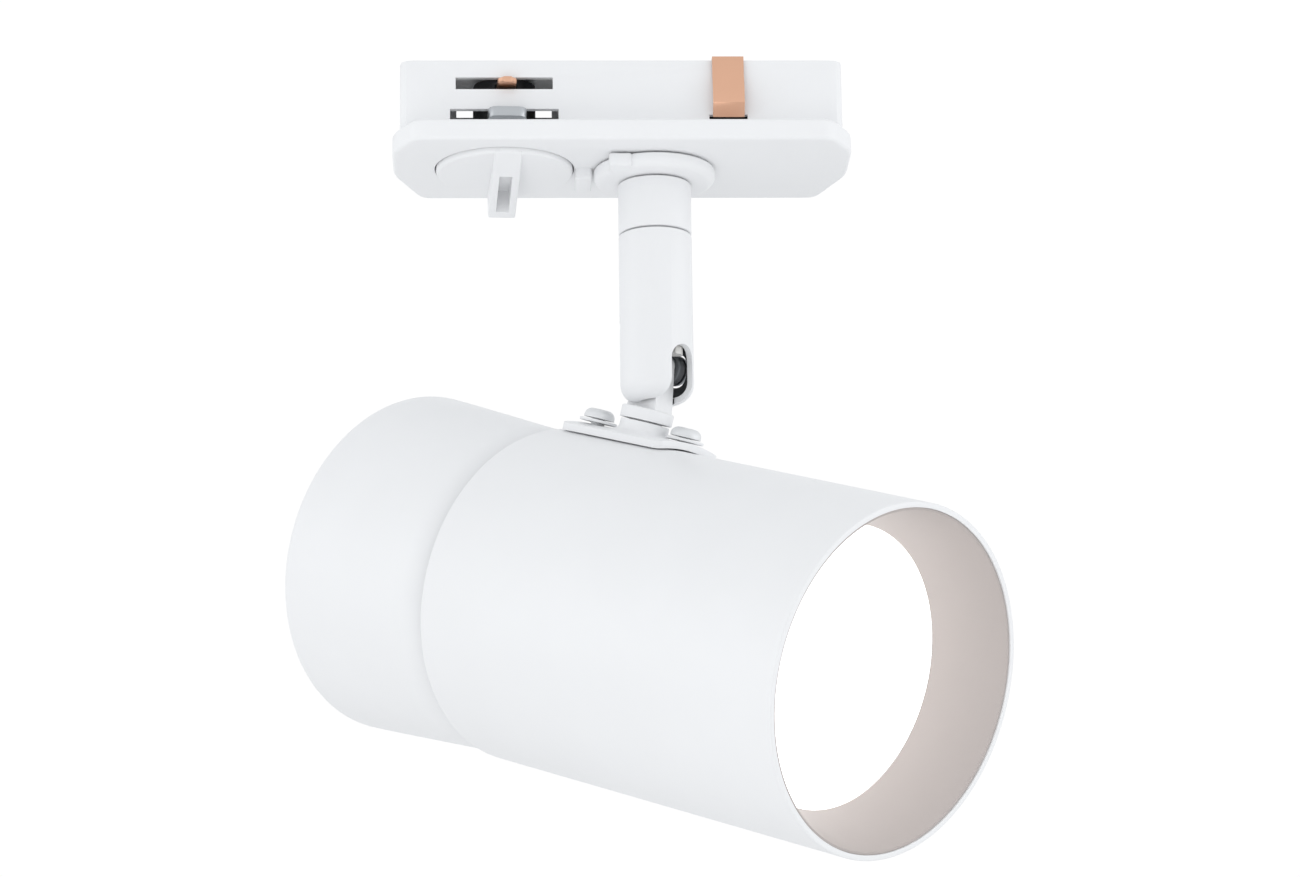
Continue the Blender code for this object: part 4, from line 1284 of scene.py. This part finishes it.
@dataclass(frozen=True)
class Panel:
    """A square soft light that faces the object.

    Attributes:
        name: its name.
        at: its place in metres.
        size: its side in metres.
        power: its strength in watts.
    """

    name: str
    at: Spot
    size: float
    power: float

    def hang(self, target: Vector) -> None:
        """Adds the light to the scene.

        Args:
            target: the point in metres that it faces.
        """
        data = bpy.data.lights.new(self.name, "AREA")
        data.size, data.energy = self.size, self.power
        light = bpy.data.objects.new(self.name, data)
        light.location = self.at
        light.rotation_euler = (target - Vector(self.at)).to_track_quat("-Z", "Y").to_euler()
        bpy.context.scene.collection.objects.link(light)


@dataclass
class Studio:
    """Pale floor, soft light all round, and the camera.

    Attributes:
        eye: the camera's place in millimetres.
        yaw, pitch, roll: its aim in degrees.
        lens, sensor: focal length and sensor width in millimetres.
        floor, floor_reach: the floor's height and half width in metres.
        floor_colour, floor_roughness: its surface.
        sky: its strength on the dim side and on the bright side.
        sky_colour: the colour of its light.
        sky_seen: its strength where it is seen.
        bright_side: where the brightest part of the sky is.
        aim: the point in metres that the panels face.
        panels: the soft lights.
    """

    eye: Spot = (-28.98, -703.06, -245.33)
    yaw: float = 2.246
    pitch: float = 15.242
    roll: float = -0.793
    lens: float = 115.22
    sensor: float = 36.0
    floor: float = -0.62
    floor_reach: float = 4.0
    floor_colour: Spot = (0.82, 0.82, 0.82)
    floor_roughness: float = 0.9
    sky: Point = (0.87, 1.10)
    sky_colour: Spot = (0.97, 0.985, 1.0)
    sky_seen: float = 1.02
    bright_side: Spot = (0.0, 0.0, -1.0)
    aim: Spot = (0.0, 0.0, -0.06)
    panels: tuple[Panel, ...] = (
        Panel("left", (-0.95, -0.25, 0.0), 0.7, 0.62),
        Panel("right", (0.95, -0.25, -0.05), 0.7, 1.37),
        Panel("under", (-0.15, -0.20, -0.58), 0.8, 0.67),
        Panel("under_front", (-0.30, -0.70, -0.55), 0.6, 0.82),
    )

    def build(self) -> None:
        """Makes the camera, the floor, the sky and the panels."""
        bpy.context.scene.view_settings.view_transform = "Standard"
        self._camera()
        self._floor()
        self._sky()
        for panel in self.panels:
            panel.hang(Vector(self.aim))

    def _camera(self) -> None:
        """Sets up the camera from its place and its aim."""
        yaw, pitch, roll = (math.radians(v) for v in (self.yaw, self.pitch, self.roll))
        ahead = Vector((math.sin(yaw) * math.cos(pitch), math.cos(yaw) * math.cos(pitch), math.sin(pitch)))
        right = Vector((math.cos(yaw), -math.sin(yaw), 0))
        above = right.cross(ahead)
        level = right * math.cos(roll) + above * math.sin(roll)
        upward = -right * math.sin(roll) + above * math.cos(roll)
        data = bpy.data.cameras.new("camera")
        data.lens, data.sensor_width = self.lens, self.sensor
        data.clip_start = 0.01
        camera = bpy.data.objects.new("camera", data)
        camera.matrix_world = axes(level, upward, -ahead, Vector(self.eye) * MM)
        bpy.context.scene.collection.objects.link(camera)
        bpy.context.scene.camera = camera

    def _floor(self) -> None:
        """Lays the floor."""
        reach = self.floor_reach
        mesh = bpy.data.meshes.new("floor")
        corners = ((-reach, -reach), (reach, -reach), (reach, reach), (-reach, reach))
        mesh.from_pydata([(x, y, self.floor) for x, y in corners], [], [(0, 1, 2, 3)])
        floor = link("floor", mesh)
        material = bpy.data.materials.new("pale_floor")
        material.use_nodes = True
        shader = material.node_tree.nodes["Principled BSDF"]
        shader.inputs["Base Color"].default_value = (*self.floor_colour, 1.0)
        shader.inputs["Roughness"].default_value = self.floor_roughness
        mesh.materials.append(material)

    def _sky(self) -> None:
        """Makes a sky that is white where it is seen and softer where it lights the object."""
        world = bpy.data.worlds.new("studio")
        world.use_nodes = True
        bpy.context.scene.world = world
        nodes, links = world.node_tree.nodes, world.node_tree.links
        seen, lighting = nodes["Background"], nodes.new("ShaderNodeBackground")
        seen.inputs["Color"].default_value = (1.0, 1.0, 1.0, 1.0)
        seen.inputs["Strength"].default_value = self.sky_seen
        lighting.inputs["Color"].default_value = (*self.sky_colour, 1.0)
        places, slope = nodes.new("ShaderNodeTexCoord"), nodes.new("ShaderNodeVectorMath")
        slope.operation = "DOT_PRODUCT"
        slope.inputs[1].default_value = Vector(self.bright_side).normalized()
        links.new(places.outputs["Generated"], slope.inputs[0])
        grade = nodes.new("ShaderNodeMapRange")
        grade.inputs["From Min"].default_value = -1.0
        grade.inputs["To Min"].default_value, grade.inputs["To Max"].default_value = self.sky
        links.new(slope.outputs["Value"], grade.inputs["Value"])
        links.new(grade.outputs["Result"], lighting.inputs["Strength"])
        path, mix = nodes.new("ShaderNodeLightPath"), nodes.new("ShaderNodeMixShader")
        links.new(path.outputs["Is Camera Ray"], mix.inputs["Fac"])
        links.new(lighting.outputs[0], mix.inputs[1])
        links.new(seen.outputs[0], mix.inputs[2])
        links.new(mix.outputs[0], nodes["World Output"].inputs["Surface"])


def dress_frame() -> None:
    """Gives every CAD node that still shows its finish."""
    for name, node in frame["nodes"].items():
        if node.hide_render:
            continue
        for slot in node.material_slots:
            slot.material = FINISHES[SLOT_OF[name]].material()
        log.info("%s keeps its CAD shape", name)


def main() -> None:
    """Builds the sub-assemblies in order, then the studio."""
    logging.basicConfig(level=logging.INFO, format="%(message)s")
    at = Places(frame["joints"])
    for assembly in (Adapter(), LockLever(), Swivel(), Neck(), Shells(), ReflectorLamp()):
        log.info("building %s", type(assembly).__name__)
        assembly.build(at)
    dress_frame()
    Studio().build()


if __name__ == "__main__":
    main()
